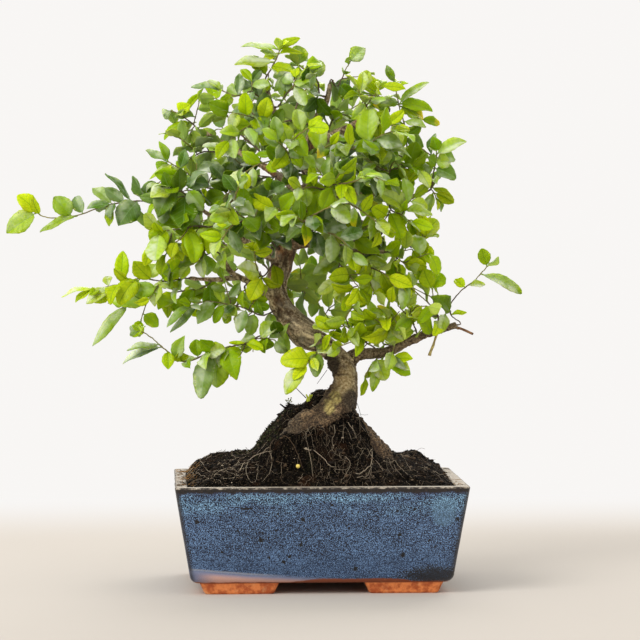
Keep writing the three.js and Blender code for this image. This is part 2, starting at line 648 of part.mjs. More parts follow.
// A rounded rectangle at one height, anticlockwise seen from above.
function rectangleRing(width, depth, radius, z, steps = 3) {
  const ring = [];
  for (const [turn, signX, signY] of [[0, 1, 1], [1, -1, 1], [2, -1, -1], [3, 1, -1]]) {
    for (let step = 0; step <= steps; step += 1) {
      const angle = (turn + step / steps) * Math.PI / 2;
      const x = signX * (width / 2 - radius) + radius * Math.cos(angle);
      const y = signY * (depth / 2 - radius) + radius * Math.sin(angle);
      ring.push(new THREE.Vector3(x, y, z));
    }
  }
  return ring;
}

function box(low, high) {
  const corners = [[low[0], low[1]], [high[0], low[1]], [high[0], high[1]], [low[0], high[1]]];
  return loft([low[2], high[2]].map((z) => corners.map(([x, y]) => new THREE.Vector3(x, y, z))));
}

// A limb of wood: rings of the given radius at each [x, y, z, radius], turned along the route.
// wobble makes the section uneven, and grow makes the whole limb thicker.
function limb(route, sides, wobble = 0, grow = 0) {
  const centres = route.map(vec);
  const rings = [];
  let normal = null;
  centres.forEach((centre, i) => {
    const before = centres[Math.max(i - 1, 0)];
    const after = centres[Math.min(i + 1, centres.length - 1)];
    const into = centre.clone().sub(before).normalize();
    const onward = after.clone().sub(centre).normalize();
    const along = into.add(onward).normalize();
    if (normal === null) {
      normal = new THREE.Vector3(0, -1, 0);
      if (Math.abs(along.y) > 0.8) {
        normal.set(1, 0, 0);
      }
    }
    normal.addScaledVector(along, -normal.dot(along)).normalize();
    const across = along.clone().cross(normal);
    const ring = [];
    for (let k = 0; k < sides; k += 1) {
      const angle = 2 * Math.PI * k / sides;
      const waves = Math.cos(3 * angle + 1.7 * i) + 0.6 * Math.cos(2 * angle - 2.3 * i);
      const radius = route[i][3] * (1 + wobble * waves) + grow;
      const point = centre.clone();
      point.addScaledVector(normal, radius * Math.cos(angle));
      point.addScaledVector(across, radius * Math.sin(angle));
      ring.push(point);
    }
    rings.push(ring);
  });
  if (grow > 0) {
    extendEnds(rings, centres, grow);
  }
  return loft(rings);
}

// Moves the first and last ring outward along the route, so that a grown limb clears its ends too.
function extendEnds(rings, centres, distance) {
  const last = centres.length - 1;
  const back = centres[0].clone().sub(centres[1]).setLength(distance);
  const forward = centres[last].clone().sub(centres[last - 1]).setLength(distance);
  rings[0].forEach((point) => point.add(back));
  rings[last].forEach((point) => point.add(forward));
}

function joined(solids) {
  return solids.reduce((whole, piece) => whole.add(piece));
}

// The largest body of a solid, as scraps that a cut leaves loose are dropped, with flat faces merged.
function tidied(whole) {
  const bodies = whole.asOriginal().simplify(TIDY).decompose();
  return bodies.reduce((most, piece) => (piece.volume() > most.volume() ? piece : most));
}

function geometryOf(whole) {
  const mesh = whole.getMesh();
  const geometry = new THREE.BufferGeometry();
  const positions = new Float32Array(mesh.numVert * 3);
  for (let i = 0; i < mesh.numVert; i += 1) {
    for (let axis = 0; axis < 3; axis += 1) {
      positions[i * 3 + axis] = mesh.vertProperties[i * mesh.numProp + axis];
    }
  }
  geometry.setAttribute('position', new THREE.BufferAttribute(positions, 3));
  geometry.setIndex(new THREE.BufferAttribute(new Uint32Array(mesh.triVerts), 1));
  geometry.computeVertexNormals();
  return geometry;
}

const bonsai = new THREE.Group();
bonsai.position.copy(FOOTPRINT_SHIFT);

function addPiece(name, whole, color, roughness, metalness = 0) {
  const material = new THREE.MeshStandardMaterial({ color, roughness, metalness });
  const mesh = new THREE.Mesh(geometryOf(whole), material);
  mesh.name = name;
  bonsai.add(mesh);
}

// The pot's width and depth at a height, and its inside, which keeps the wall's thickness.
function potWidth(z) {
  return mix(BASE_WIDTH, RIM_WIDTH, (z - FOOT_HEIGHT) / (RIM_HEIGHT - FOOT_HEIGHT));
}

function potDepth(z) {
  return mix(BASE_DEPTH, RIM_DEPTH, (z - FOOT_HEIGHT) / (RIM_HEIGHT - FOOT_HEIGHT));
}

function potRing(z, inset) {
  const radius = Math.max(CORNER_RADIUS - inset / 2, INNER_CORNER);
  return rectangleRing(potWidth(z) - 2 * inset, potDepth(z) - 2 * inset, radius, z);
}

function insideOfPot(inset, top) {
  const floor = FOOT_HEIGHT + FLOOR + inset;
  const rings = [
    potRing(floor, WALL + FLOOR_ROUND + inset),
    potRing(floor + FLOOR_ROUND, WALL + inset),
    potRing(RIM_HEIGHT, WALL + inset),
  ];
  if (top > RIM_HEIGHT) {
    rings.push(rings[2].map((point) => new THREE.Vector3(point.x, point.y, top)));
  }
  return loft(rings);
}

function foot(signX, signY) {
  const middleX = signX * (FOOT_INNER + FOOT_OUTER) / 2;
  const middleY = signY * (FOOT_FRONT + FOOT_BACK) / 2;
  const width = FOOT_OUTER - FOOT_INNER;
  const depth = FOOT_FRONT - FOOT_BACK;
  const rings = [[0, FOOT_TAPER], [FOOT_HEIGHT, 0], [FOOT_HEIGHT + PAST, 0]].map(([z, inset]) => {
    const ring = rectangleRing(width - 2 * inset, depth - inset, FOOT_CORNER, z, 2);
    return ring.map((point) => point.add(new THREE.Vector3(middleX, middleY, 0)));
  });
  return loft(rings);
}

function drainHole(side) {
  const middle = side * DRAIN_SPACING / 2;
  const route = [FOOT_HEIGHT - PAST, FOOT_HEIGHT + FLOOR + PAST].map((z) => [middle, 0, z, DRAIN_RADIUS]);
  return limb(route, 16);
}

// The outside has a bevelled round at the base, as shares of its radius, and a soft lip.
function makePot() {
  const outer = loft([
    potRing(FOOT_HEIGHT, BASE_ROUND * 0.7),
    potRing(FOOT_HEIGHT + BASE_ROUND * 0.35, BASE_ROUND * 0.2),
    potRing(FOOT_HEIGHT + BASE_ROUND, 0),
    potRing(RIM_HEIGHT - LIP_ROUND, 0),
    potRing(RIM_HEIGHT - LIP_ROUND * 0.3, LIP_ROUND * 0.3),
    potRing(RIM_HEIGHT, LIP_ROUND),
  ]);
  const feet = [[-1, -1], [1, -1], [-1, 1], [1, 1]].map(([x, y]) => foot(x, y));
  const body = joined([outer, ...feet]);
  return body.subtract(insideOfPot(0, RIM_HEIGHT + PAST)).subtract(drainHole(-1)).subtract(drainHole(1));
}

function screenBox(side, margin, lift) {
  const half = SCREEN_SIDE / 2 + margin;
  const middle = side * DRAIN_SPACING / 2;
  const bottom = FOOT_HEIGHT + FLOOR + GAP - lift;
  return box([middle - half, -half, bottom], [middle + half, half, bottom + SCREEN_THICK + 2 * lift]);
}

function makeScreen(side) {
  let plate = screenBox(side, 0, 0);
  const bottom = FOOT_HEIGHT + FLOOR;
  const top = bottom + GAP + SCREEN_THICK;
  const half = SCREEN_CELL / 2;
  for (let i = -1; i <= 1; i += 1) {
    for (let j = -1; j <= 1; j += 1) {
      const x = side * DRAIN_SPACING / 2 + i * SCREEN_PITCH;
      const y = j * SCREEN_PITCH;
      plate = plate.subtract(box([x - half, y - half, bottom - PAST], [x + half, y + half, top + PAST]));
    }
  }
  return plate;
}

// Height of the soil: level at the rim, domed in the middle and heaped round the roots.
function soilHeight(x, y) {
  const halfX = RIM_WIDTH / 2 - WALL;
  const halfY = RIM_DEPTH / 2 - WALL;
  const edgeX = Math.min(Math.abs(x) / halfX, 1);
  const edgeY = Math.min(Math.abs(y) / halfY, 1);
  const dome = SOIL_DOME * (1 - edgeX ** 4) * (1 - edgeY ** 2.4);
  const corner = SOIL_CORNER_DROP * edgeX ** 6 * edgeY ** 4;
  const reachX = x < MOUND_X ? MOUND_LEFT : MOUND_RIGHT;
  const reachY = y < MOUND_Y ? MOUND_FRONT : MOUND_BACK;
  const away = Math.hypot((x - MOUND_X) / reachX, (y - MOUND_Y) / reachY);
  const mound = MOUND_PEAK * Math.max(1 - away ** 2, 0) ** MOUND_SHOULDER;
  const lumps = SOIL_LUMPS * Math.sin(0.31 * x + 0.17 * y) * Math.cos(0.27 * y) * (1 - edgeX ** 4);
  return SOIL_EDGE + dome - corner + mound + lumps;
}

// A block with the soil's heaped top, larger than the pot's inside all round.
function heapedBlock() {
  const bottom = FOOT_HEIGHT;
  const points = [];
  for (const layer of ['bottom', 'top']) {
    for (let j = 0; j <= SOIL_GRID_Y; j += 1) {
      for (let i = 0; i <= SOIL_GRID_X; i += 1) {
        const x = (i / SOIL_GRID_X - 0.5) * RIM_WIDTH;
        const y = (j / SOIL_GRID_Y - 0.5) * RIM_DEPTH;
        points.push(new THREE.Vector3(x, y, layer === 'top' ? soilHeight(x, y) : bottom));
      }
    }
  }
  const row = SOIL_GRID_X + 1;
  const layerSize = row * (SOIL_GRID_Y + 1);
  const triangles = [];
  for (let j = 0; j < SOIL_GRID_Y; j += 1) {
    for (let i = 0; i < SOIL_GRID_X; i += 1) {
      const a = j * row + i;
      const quad = [a, a + 1, a + row + 1, a + row];
      triangles.push([quad[0], quad[2], quad[1]], [quad[0], quad[3], quad[2]]);
      const top = quad.map((index) => index + layerSize);
      triangles.push([top[0], top[1], top[2]], [top[0], top[2], top[3]]);
    }
  }
  const border = [];
  for (let i = 0; i < SOIL_GRID_X; i += 1) {
    border.push(i);
  }
  for (let j = 0; j < SOIL_GRID_Y; j += 1) {
    border.push(j * row + SOIL_GRID_X);
  }
  for (let i = SOIL_GRID_X; i > 0; i -= 1) {
    border.push(SOIL_GRID_Y * row + i);
  }
  for (let j = SOIL_GRID_Y; j > 0; j -= 1) {
    border.push(j * row);
  }
  border.forEach((a, k) => {
    const b = border[(k + 1) % border.length];
    triangles.push([a, b, b + layerSize], [a, b + layerSize, a + layerSize]);
  });
  return solid(points, triangles);
}

// The wood that meets the soil: the roots, the trunk with its cut stub, its leader and its scars.
function woodLimbs(grow) {
  const limbs = [limb(STEM, STEM_SIDES, STEM_WOBBLE, grow)];
  for (const route of [LEADER, ...Object.values(ROOTS)]) {
    limbs.push(limb(route, LIMB_SIDES, STEM_WOBBLE, grow));
  }
  for (const route of Object.values(SCARS)) {
    limbs.push(limb(route, SCAR_SIDES, SCAR_WOBBLE, grow));
  }
  return limbs;
}

// All the wood is one grown piece.
function makeTrunk() {
  const limbs = woodLimbs(0);
  for (const route of Object.values(BRANCHES)) {
    limbs.push(limb(route, BRANCH_SIDES));
  }
  return tidied(joined(limbs));
}

// The soil fills the pot, with a plain hole for the root base and a bed for each screen.
function makeSoil() {
  const filled = heapedBlock().intersect(insideOfPot(GAP, RIM_HEIGHT + SOIL_DOME + 2 * MOUND_PEAK));
  const hole = joined(woodLimbs(WOOD_GAP));
  const cut = filled.subtract(hole).subtract(screenBox(-1, GAP, GAP)).subtract(screenBox(1, GAP, GAP));
  return tidied(cut);
}

// Routes of wood that shoots grow on, by name.
const WOOD = { stem: STEM, leader: LEADER, ...BRANCHES };

// Place and direction at a share of a route's length, with the radius there.
function along(route, share) {
  const lengths = [];
  for (let i = 0; i + 1 < route.length; i += 1) {
    lengths.push(vec(route[i]).distanceTo(vec(route[i + 1])));
  }
  let left = share * lengths.reduce((sum, length) => sum + length, 0);
  let leg = 0;
  while (leg + 1 < lengths.length && left > lengths[leg]) {
    left -= lengths[leg];
    leg += 1;
  }
  const part = Math.min(left / lengths[leg], 1);
  const start = vec(route[leg]);
  const end = vec(route[leg + 1]);
  const radius = mix(route[leg][3] ?? 0, route[leg + 1][3] ?? 0, part);
  return { point: start.clone().lerp(end, part), direction: end.clone().sub(start).normalize(), radius };
}

function routeLength(route) {
  let length = 0;
  for (let i = 0; i + 1 < route.length; i += 1) {
    length += vec(route[i]).distanceTo(vec(route[i + 1]));
  }
  return length;
}

// The shoot's own route: it starts a small gap off the wood's surface and thins towards its tip.
function stemRoute(spray) {
  const wood = WOOD[spray.on];
  const seat = along(wood, spray.at);
  const toward = vec(spray.stem[0]).sub(seat.point);
  if (spray.at < 1) {
    toward.addScaledVector(seat.direction, -toward.dot(seat.direction));
  } else {
    toward.copy(seat.direction);
  }
  toward.normalize();
  const off = (spray.at < 1 ? seat.radius : 0) + WOOD_GAP;
  const start = seat.point.clone().addScaledVector(toward, off);
  const collar = start.clone().addScaledVector(toward, TWIG_COLLAR);
  const points = [start, collar, ...spray.stem.map(vec)];
  return points.map((point, i) => {
    const radius = mix(spray.radius, TWIG_TIP, i / (points.length - 1));
    return [point.x, point.y, point.z, radius];
  });
}

// A side shoot starts in the main shoot.
function sideRoute(main, [share, points], radius) {
  const start = along(main, share).point;
  return [start, ...points.map(vec)].map((point, i) => {
    return [point.x, point.y, point.z, mix(radius * SIDE_TWIG, SIDE_TWIG_TIP, i / points.length)];
  });
}

// A leaf's frame: its root on the shoot, its axis, the way it faces and the way across it.
function leafFrame(root, tip, width, facing) {
  const axis = tip.clone().sub(root);
  const length = axis.length();
  axis.normalize();
  const normal = facing.clone().addScaledVector(axis, -facing.dot(axis)).normalize();
  const across = axis.clone().cross(normal);
  return { root, axis, length, width, normal, across };
}

// A point of the leaf's surface: share of its length and signed distance from the midrib.
function leafPoint(leaf, share, offset) {
  const rise = leaf.length * LEAF_ARCH * 4 * share * (1 - share) + LEAF_FOLD * Math.abs(offset);
  const point = leaf.root.clone();
  point.addScaledVector(leaf.axis, share * leaf.length);
  point.addScaledVector(leaf.across, offset);
  return point.addScaledVector(leaf.normal, rise);
}

// Outlines: shares of the length with half the blade's width there, as a share of the full width.
const TINY_OUTLINE = [[0.44, 0.5]];
const SMALL_OUTLINE = [[0.34, 0.5], [0.7, 0.38]];
const LARGE_OUTLINE = [[0.2, 0.34], [0.46, 0.5], [0.76, 0.34]];

// The same half width as a smooth curve, for the clearance tests.
function halfWidth(share) {
  if (share <= 0 || share >= 1) {
    return 0;
  }
  return 0.5 * Math.sin(Math.PI * share ** 0.8) ** 0.8;
}

function outlineFor(length) {
  if (length < TINY_LEAF) {
    return TINY_OUTLINE;
  }
  return length > LARGE_LEAF ? LARGE_OUTLINE : SMALL_OUTLINE;
}

// A leaf blade: an arched plate, split into the same triangles on both faces. Its sheet runs from the
// root up the left edge to the tip and back down the right edge. Only one triangle of each face meets
// the root, so that the blade joins its shoot with few cuts.
function leafSolid(leaf, outline) {
  const left = outline.map(([share, half]) => leafPoint(leaf, share, half * leaf.width));
  const right = outline.map(([share, half]) => leafPoint(leaf, share, -half * leaf.width));
  const sheet = [leafPoint(leaf, 0, 0), ...left, leafPoint(leaf, 1, 0), ...right.reverse()];
  const count = sheet.length;
  const last = outline.length;
  const faces = [[0, 1, count - 1]];
  for (let i = 1; i < last; i += 1) {
    faces.push([i, i + 1, count - 1 - i], [i, count - 1 - i, count - i]);
  }
  faces.push([last, last + 1, count - last]);
  const points = [];
  for (const side of [0.5, -0.5]) {
    sheet.forEach((point) => points.push(point.clone().addScaledVector(leaf.normal, side * BLADE)));
  }
  const triangles = [];
  for (const [a, b, c] of faces) {
    triangles.push([a, b, c], [a + count, c + count, b + count]);
  }
  for (let i = 0; i < count; i += 1) {
    const next = (i + 1) % count;
    triangles.push([i, i + count, next + count], [i, next + count, next]);
  }
  return solid(points, triangles);
}

// Everything that a leaf has to keep clear of, as groups of balls.
const obstacles = [];

function addObstacle(owner, kind, balls) {
  const middle = new THREE.Vector3();
  balls.forEach((ball) => middle.add(ball.point));
  middle.divideScalar(balls.length);
  const reach = Math.max(...balls.map((ball) => ball.point.distanceTo(middle) + ball.radius));
  obstacles.push({ owner, kind, balls, middle, reach });
}

function addRouteObstacle(owner, kind, route) {
  for (let leg = 0; leg + 1 < route.length; leg += 1) {
    const start = vec(route[leg]);
    const end = vec(route[leg + 1]);
    const steps = Math.max(Math.ceil(start.distanceTo(end) / SAMPLE_STEP), 1);
    const balls = [];
    for (let i = 0; i <= steps; i += 1) {
      const radius = mix(route[leg][3], route[leg + 1][3], i / steps);
      balls.push({ point: start.clone().lerp(end, i / steps), radius });
    }
    addObstacle(owner, kind, balls);
  }
}

// Points all over a leaf: rows along it with five points across, and one at the tip.
function leafBalls(leaf) {
  const rows = Math.max(Math.ceil(leaf.length / SAMPLE_STEP), 4);
  const balls = [];
  for (let i = 1; i <= rows; i += 1) {
    const share = i / rows;
    for (const side of share < 1 ? [-1, -0.5, 0, 0.5, 1] : [0]) {
      const offset = side * leaf.width * halfWidth(share);
      balls.push({ point: leafPoint(leaf, share, offset), radius: 0, share });
    }
  }
  return balls;
}

// The distance that a leaf keeps from an obstacle, or null where it may touch its own shoot.
function clearanceTo(owner, obstacle) {
  if (obstacle.kind === 'wood') {
    return obstacle.owner === owner ? null : WOOD_CLEARANCE;
  }
  return obstacle.owner === owner ? SISTER_CLEARANCE : LEAF_CLEARANCE;
}

// Leaves of one shoot may meet at their roots, so only the rest of each is tested against the other.
function isFree(owner, balls, middle, reach) {
  for (const obstacle of obstacles) {
    const clearance = clearanceTo(owner, obstacle);
    if (clearance === null || middle.distanceTo(obstacle.middle) > reach + obstacle.reach + clearance) {
      continue;
    }
    const sister = obstacle.owner === owner;
    for (const ball of balls) {
      if (sister && ball.share < SISTER_ROOT) {
        continue;
      }
      for (const other of obstacle.balls) {
        if (sister && other.share < SISTER_ROOT) {
          continue;
        }
        if (ball.point.distanceTo(other.point) < clearance + other.radius) {
          return false;
        }
      }
    }
  }
  return true;
}

// Keeps a leaf if it is clear of everything, and remembers it as an obstacle.
function tryLeaf(owner, leaf) {
  const balls = leafBalls(leaf);
  const middle = leafPoint(leaf, 0.5, 0);
  const reach = Math.max(...balls.map((ball) => ball.point.distanceTo(middle)));
  if (!isFree(owner, balls, middle, reach)) {
    return false;
  }
  addObstacle(owner, 'leaf', balls);
  return true;
}

const SKYWARD = new THREE.Vector3(0, -0.2, 1).normalize();
const FORWARD = new THREE.Vector3(-0.05, -1, 0.35).normalize();

// A leaf with a chosen tip: if it touches something, its tip moves nearer or farther.
function placedLeaf(owner, main, [share, tip, width, facing]) {
  const root = along(main, share).point;
  const normal = SKYWARD.clone().lerp(FORWARD, facing).normalize();
  for (let attempt = 0; attempt < LEAF_TRIES; attempt += 1) {
    const step = Math.ceil(attempt / 2) * (attempt % 2 === 0 ? TIP_STEP : -TIP_STEP);
    const moved = vec(tip).add(new THREE.Vector3(0, step, 0));
    const leaf = leafFrame(root, moved, width, normal);
    if (tryLeaf(owner, leaf)) {
      return leaf;
    }
  }
  return null;
}

// Which way a ruled leaf faces: out of the crown and up, with some scatter.
function ruledFacing(point, draws) {
  const facing = point.clone().sub(CROWN_MIDDLE).normalize().multiplyScalar(FACE_OUT);
  facing.add(new THREE.Vector3(0, 0, FACE_UP));
  const scatter = new THREE.Vector3(draws[0] - 0.5, draws[1] - 0.5, draws[2] - 0.5);
  return facing.addScaledVector(scatter, FACE_SCATTER).normalize();
}

// A leaf by rule: the leaves stand on alternate sides of the shoot, wider off it at each new try, and
// the last one carries the shoot's line on.
function ruledLeaf(owner, route, index, count, size, draw) {
  const first = Math.min(FIRST_LEAF / routeLength(route), LAST_FIRST_SHARE);
  const share = count === 1 ? 1 : mix(first, 1, index / (count - 1));
  const seat = along(route, share);
  const side = Math.floor(index / 2) % 2 === 0 ? 1 : -1;
  const [leastSpread, mostSpread] = index === count - 1 ? END_SPREAD : SIDE_SPREAD;
  for (let attempt = 0; attempt < LEAF_TRIES; attempt += 1) {
    const draws = Array.from({ length: DRAWS_PER_TRY }, () => draw());
    const facing = ruledFacing(seat.point, draws);
    const upper = facing.clone().addScaledVector(seat.direction, -facing.dot(seat.direction)).normalize();
    const across = seat.direction.clone().cross(upper);
    const spread = mix(leastSpread, mostSpread, draws[3]) + SPREAD_STEP * attempt;
    const axis = seat.direction.clone().multiplyScalar(Math.cos(spread));
    axis.addScaledVector(across, side * Math.sin(spread));
    axis.addScaledVector(upper, mix(LEAF_LIFT[0], LEAF_LIFT[1], draws[4]));
    axis.add(new THREE.Vector3(0, 0, -LEAF_DROOP * draws[2])).normalize();
    const length = size * mix(LENGTH_SPAN[0], LENGTH_SPAN[1], draws[5]) * (1 - TIP_SHRINK * share * share);
    const width = length * mix(WIDTH_SPAN[0], WIDTH_SPAN[1], draws[6]);
    const leaf = leafFrame(seat.point, seat.point.clone().addScaledVector(axis, length), width, facing);
    if (tryLeaf(owner, leaf)) {
      return leaf;
    }
  }
  return null;
}

const TONES = { young: '#8fb92f', fresh: '#5d9a2e', mature: '#3c7636' };

// Every shoot's routes first, then the leaves with chosen places, then the leaves by rule.
function growSprays() {
  for (const route of Object.values({ ...WOOD, ...ROOTS, ...SCARS })) {
    addRouteObstacle('trunk', 'wood', route);
  }
  const shoots = SPRAYS.map((spray) => {
    const main = stemRoute(spray);
    const sides = (spray.side ?? []).map((side) => sideRoute(main, side, spray.radius));
    [main, ...sides].forEach((route) => addRouteObstacle(spray.name, 'wood', route));
    return { main, sides };
  });
  const leaves = SPRAYS.map(() => []);
  SPRAYS.forEach((spray, i) => {
    for (const placed of spray.placed ?? []) {
      leaves[i].push(placedLeaf(spray.name, shoots[i].main, placed));
    }
  });
  SPRAYS.forEach((spray, i) => {
    const draw = drawsFrom(SPRAY_SEED * (i + 1));
    const routes = [[shoots[i].main, spray.leaves]];
    shoots[i].sides.forEach((route, k) => routes.push([route, spray.side[k][2]]));
    for (const [route, count] of routes) {
      for (let index = 0; index < count; index += 2) {
        leaves[i].push(ruledLeaf(spray.name, route, index, count, spray.size, draw));
      }
    }
  });
  return SPRAYS.map((spray, i) => {
    return { spray, ...shoots[i], leaves: leaves[i].filter((leaf) => leaf !== null) };
  });
}

// A shoot's stem has three sides and is made wider, so that it is as full as a round one.
function twig(route) {
  return limb(route.map(([x, y, z, radius]) => [x, y, z, radius * TWIG_FULLNESS]), 3);
}

function makeSpray({ main, sides, leaves }) {
  const pieces = [main, ...sides].map(twig);
  leaves.forEach((leaf) => pieces.push(leafSolid(leaf, outlineFor(leaf.length))));
  return tidied(joined(pieces));
}

addPiece('pot', makePot(), '#3c5f8a', 0.25);
addPiece('drainage_screen_left', makeScreen(-1), '#2a2c2b', 0.6);
addPiece('drainage_screen_right', makeScreen(1), '#2a2c2b', 0.6);
addPiece('soil', makeSoil(), '#2b221b', 0.95);
addPiece('trunk', makeTrunk(), '#7b6450', 0.85);
for (const grown of growSprays()) {
  addPiece(`spray_${grown.spray.name}`, makeSpray(grown), TONES[grown.spray.tone], 0.5);
}

export default bonsai;
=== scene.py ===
# Looks of a sageretia bonsai in its glazed pot. Points and sizes are in millimetres round the pot's middle,
# as in the part's source, and turn into metres of the shared frame when a mesh is made.
import functools
import math

import bpy
import numpy as np
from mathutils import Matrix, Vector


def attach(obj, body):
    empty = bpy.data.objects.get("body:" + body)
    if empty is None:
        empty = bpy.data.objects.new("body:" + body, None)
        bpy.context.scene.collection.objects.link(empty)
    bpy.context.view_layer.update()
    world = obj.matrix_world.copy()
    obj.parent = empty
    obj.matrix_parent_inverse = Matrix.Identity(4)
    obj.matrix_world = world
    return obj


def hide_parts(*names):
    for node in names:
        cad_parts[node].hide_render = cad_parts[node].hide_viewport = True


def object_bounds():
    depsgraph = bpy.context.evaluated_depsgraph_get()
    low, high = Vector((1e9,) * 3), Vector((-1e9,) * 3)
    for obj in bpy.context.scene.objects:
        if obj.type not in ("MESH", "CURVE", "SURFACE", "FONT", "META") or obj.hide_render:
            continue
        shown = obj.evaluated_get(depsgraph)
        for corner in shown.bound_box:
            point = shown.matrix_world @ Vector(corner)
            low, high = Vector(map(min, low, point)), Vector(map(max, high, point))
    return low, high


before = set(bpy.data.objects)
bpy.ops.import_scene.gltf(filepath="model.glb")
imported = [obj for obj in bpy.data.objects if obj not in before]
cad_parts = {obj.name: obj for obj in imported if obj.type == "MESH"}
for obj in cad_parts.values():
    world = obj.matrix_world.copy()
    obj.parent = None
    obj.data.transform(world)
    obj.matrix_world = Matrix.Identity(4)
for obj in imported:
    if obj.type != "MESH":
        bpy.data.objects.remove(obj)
CAD_LOW, CAD_HIGH = [np.array(corner, float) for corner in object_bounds()]

# The whole is moved so that the middle of its footprint box is the origin.
FOOTPRINT_SHIFT = np.array([36, -3.4, 0])
METRES = 0.001

# Camera: its place, the way it looks and its lens, for a square image.
CAMERA_PLACE = np.array([-103.4, -1940.7, 253.5])
CAMERA_YAW = 3.104
CAMERA_PITCH = -2.043
CAMERA_LENS = 156.6
CAMERA_SENSOR = 36

# Pot.
RIM_WIDTH = 200
RIM_DEPTH = 150
RIM_HEIGHT = 74
BASE_WIDTH = 178
BASE_DEPTH = 126
FOOT_HEIGHT = 7.6
WALL = 8.5
FLOOR = 7.6
CORNER_RADIUS = 4
INNER_CORNER = 1.5
BASE_ROUND = 5
LIP_ROUND = 1.2
FLOOR_ROUND = 4
FOOT_INNER = 29
FOOT_OUTER = 83
FOOT_FRONT = 60
FOOT_BACK = 27
FOOT_TAPER = 3.5
FOOT_CORNER = 3
DRAIN_RADIUS = 7.5
DRAIN_SPACING = 84

# Soil.
SOIL_EDGE = 73
SOIL_DOME = 19
SOIL_CORNER_DROP = 7
MOUND_PEAK = 42
MOUND_X = 8
MOUND_Y = 4
MOUND_LEFT = 68
MOUND_RIGHT = 40
MOUND_FRONT = 62
MOUND_BACK = 44
MOUND_SHOULDER = 1.5
SOIL_LUMPS = 0.9
SOIL_PITCH = 0.9
SOIL_GAP = 0.3

# Wood and shoots.
WOOD_GAP = 0.4
TWIG_TIP = 0.55
SIDE_TWIG = 0.75
SIDE_TWIG_TIP = 0.5
TWIG_COLLAR = 2.5

# Foliage rules. The crown's middle is what the leaves turn away from.
CROWN_MIDDLE = np.array([-14, 0, 262], float)
LEAF_ARCH = 0.06
LEAF_FOLD = 0.16
LEAF_TRIES = 9
TIP_STEP = 3
LEAF_CLEARANCE = 4.2
SISTER_CLEARANCE = 2.4
WOOD_CLEARANCE = 2.9
SAMPLE_STEP = 2.4
SISTER_ROOT = 0.3
FIRST_LEAF = 9
LAST_FIRST_SHARE = 0.5
FACE_OUT = 0.8
FACE_UP = 0.6
FACE_SCATTER = 0.9
END_SPREAD = (0.1, 0.6)
SIDE_SPREAD = (0.7, 1.25)
SPREAD_STEP = 0.12
LEAF_LIFT = (-0.2, 0.3)
LEAF_DROOP = 0.45
LENGTH_SPAN = (0.72, 1.14)
TIP_SHRINK = 0.22
WIDTH_SPAN = (0.6, 0.72)
DRAWS_PER_TRY = 7
SPRAY_SEED = 7919

# Wood: routes as (x, y, z, radius).
STEM = [
    (17, 0, 123, 9.8), (19, 0, 132, 9.4), (20, 0, 142, 8.8), (18, 0, 152, 8.6), (12, -1, 161, 7),
    (2, -2, 168, 7.4), (-9, -3, 175, 9.6), (-20, -2, 186, 8.3), (-27, 0, 197, 7.4), (-29, 1, 209, 7.3),
    (-25, 2, 223, 7.9), (-23, 1, 238, 8.6),
]
LEADER = [
    (-25, 4, 220, 6.6), (-18, 12, 240, 6.2), (-10, 14, 257, 5.8), (-5, 12, 275, 5.4), (-5, 8, 294, 4.8),
    (-4, 5, 310, 4), (1, 4, 325, 3.2), (6, 3, 336, 2.4), (9, 3, 349, 1.5),
]
ROOTS = {
    "buttress_left": [
        (18, 0, 131, 8), (10, -7, 126, 10.5), (2, -13, 119, 12), (-7, -19, 111, 11.5),
        (-16, -24, 103, 8.5), (-24, -28, 94, 4.5),
    ],
    "root_right": [
        (22, 0, 124, 7), (23, -6, 116, 7.5), (28, -11, 106.5, 8), (35, -15, 98.5, 8.5), (41, -19, 91, 9),
        (43, -22, 81.5, 8), (42, -24, 72, 6),
    ],
    "root_back_left": [(17, 2, 125, 7), (7, 20, 112, 8.5), (-7, 35, 94, 6.5), (-16, 44, 76, 3.5)],
    "root_back_right": [(20, 2, 124, 6.5), (29, 20, 109, 6.5), (37, 35, 90, 5), (40, 43, 72, 3)],
}
SCARS = {
    "burr": [(21, -3, 136, 3), (24, -5, 130, 5.6), (24, -6, 122, 6), (22, -5, 115, 4)],
    "snag": [(17, -2, 158, 4.2), (12, -6, 153, 3.4), (8, -8, 145, 1.4)],
}
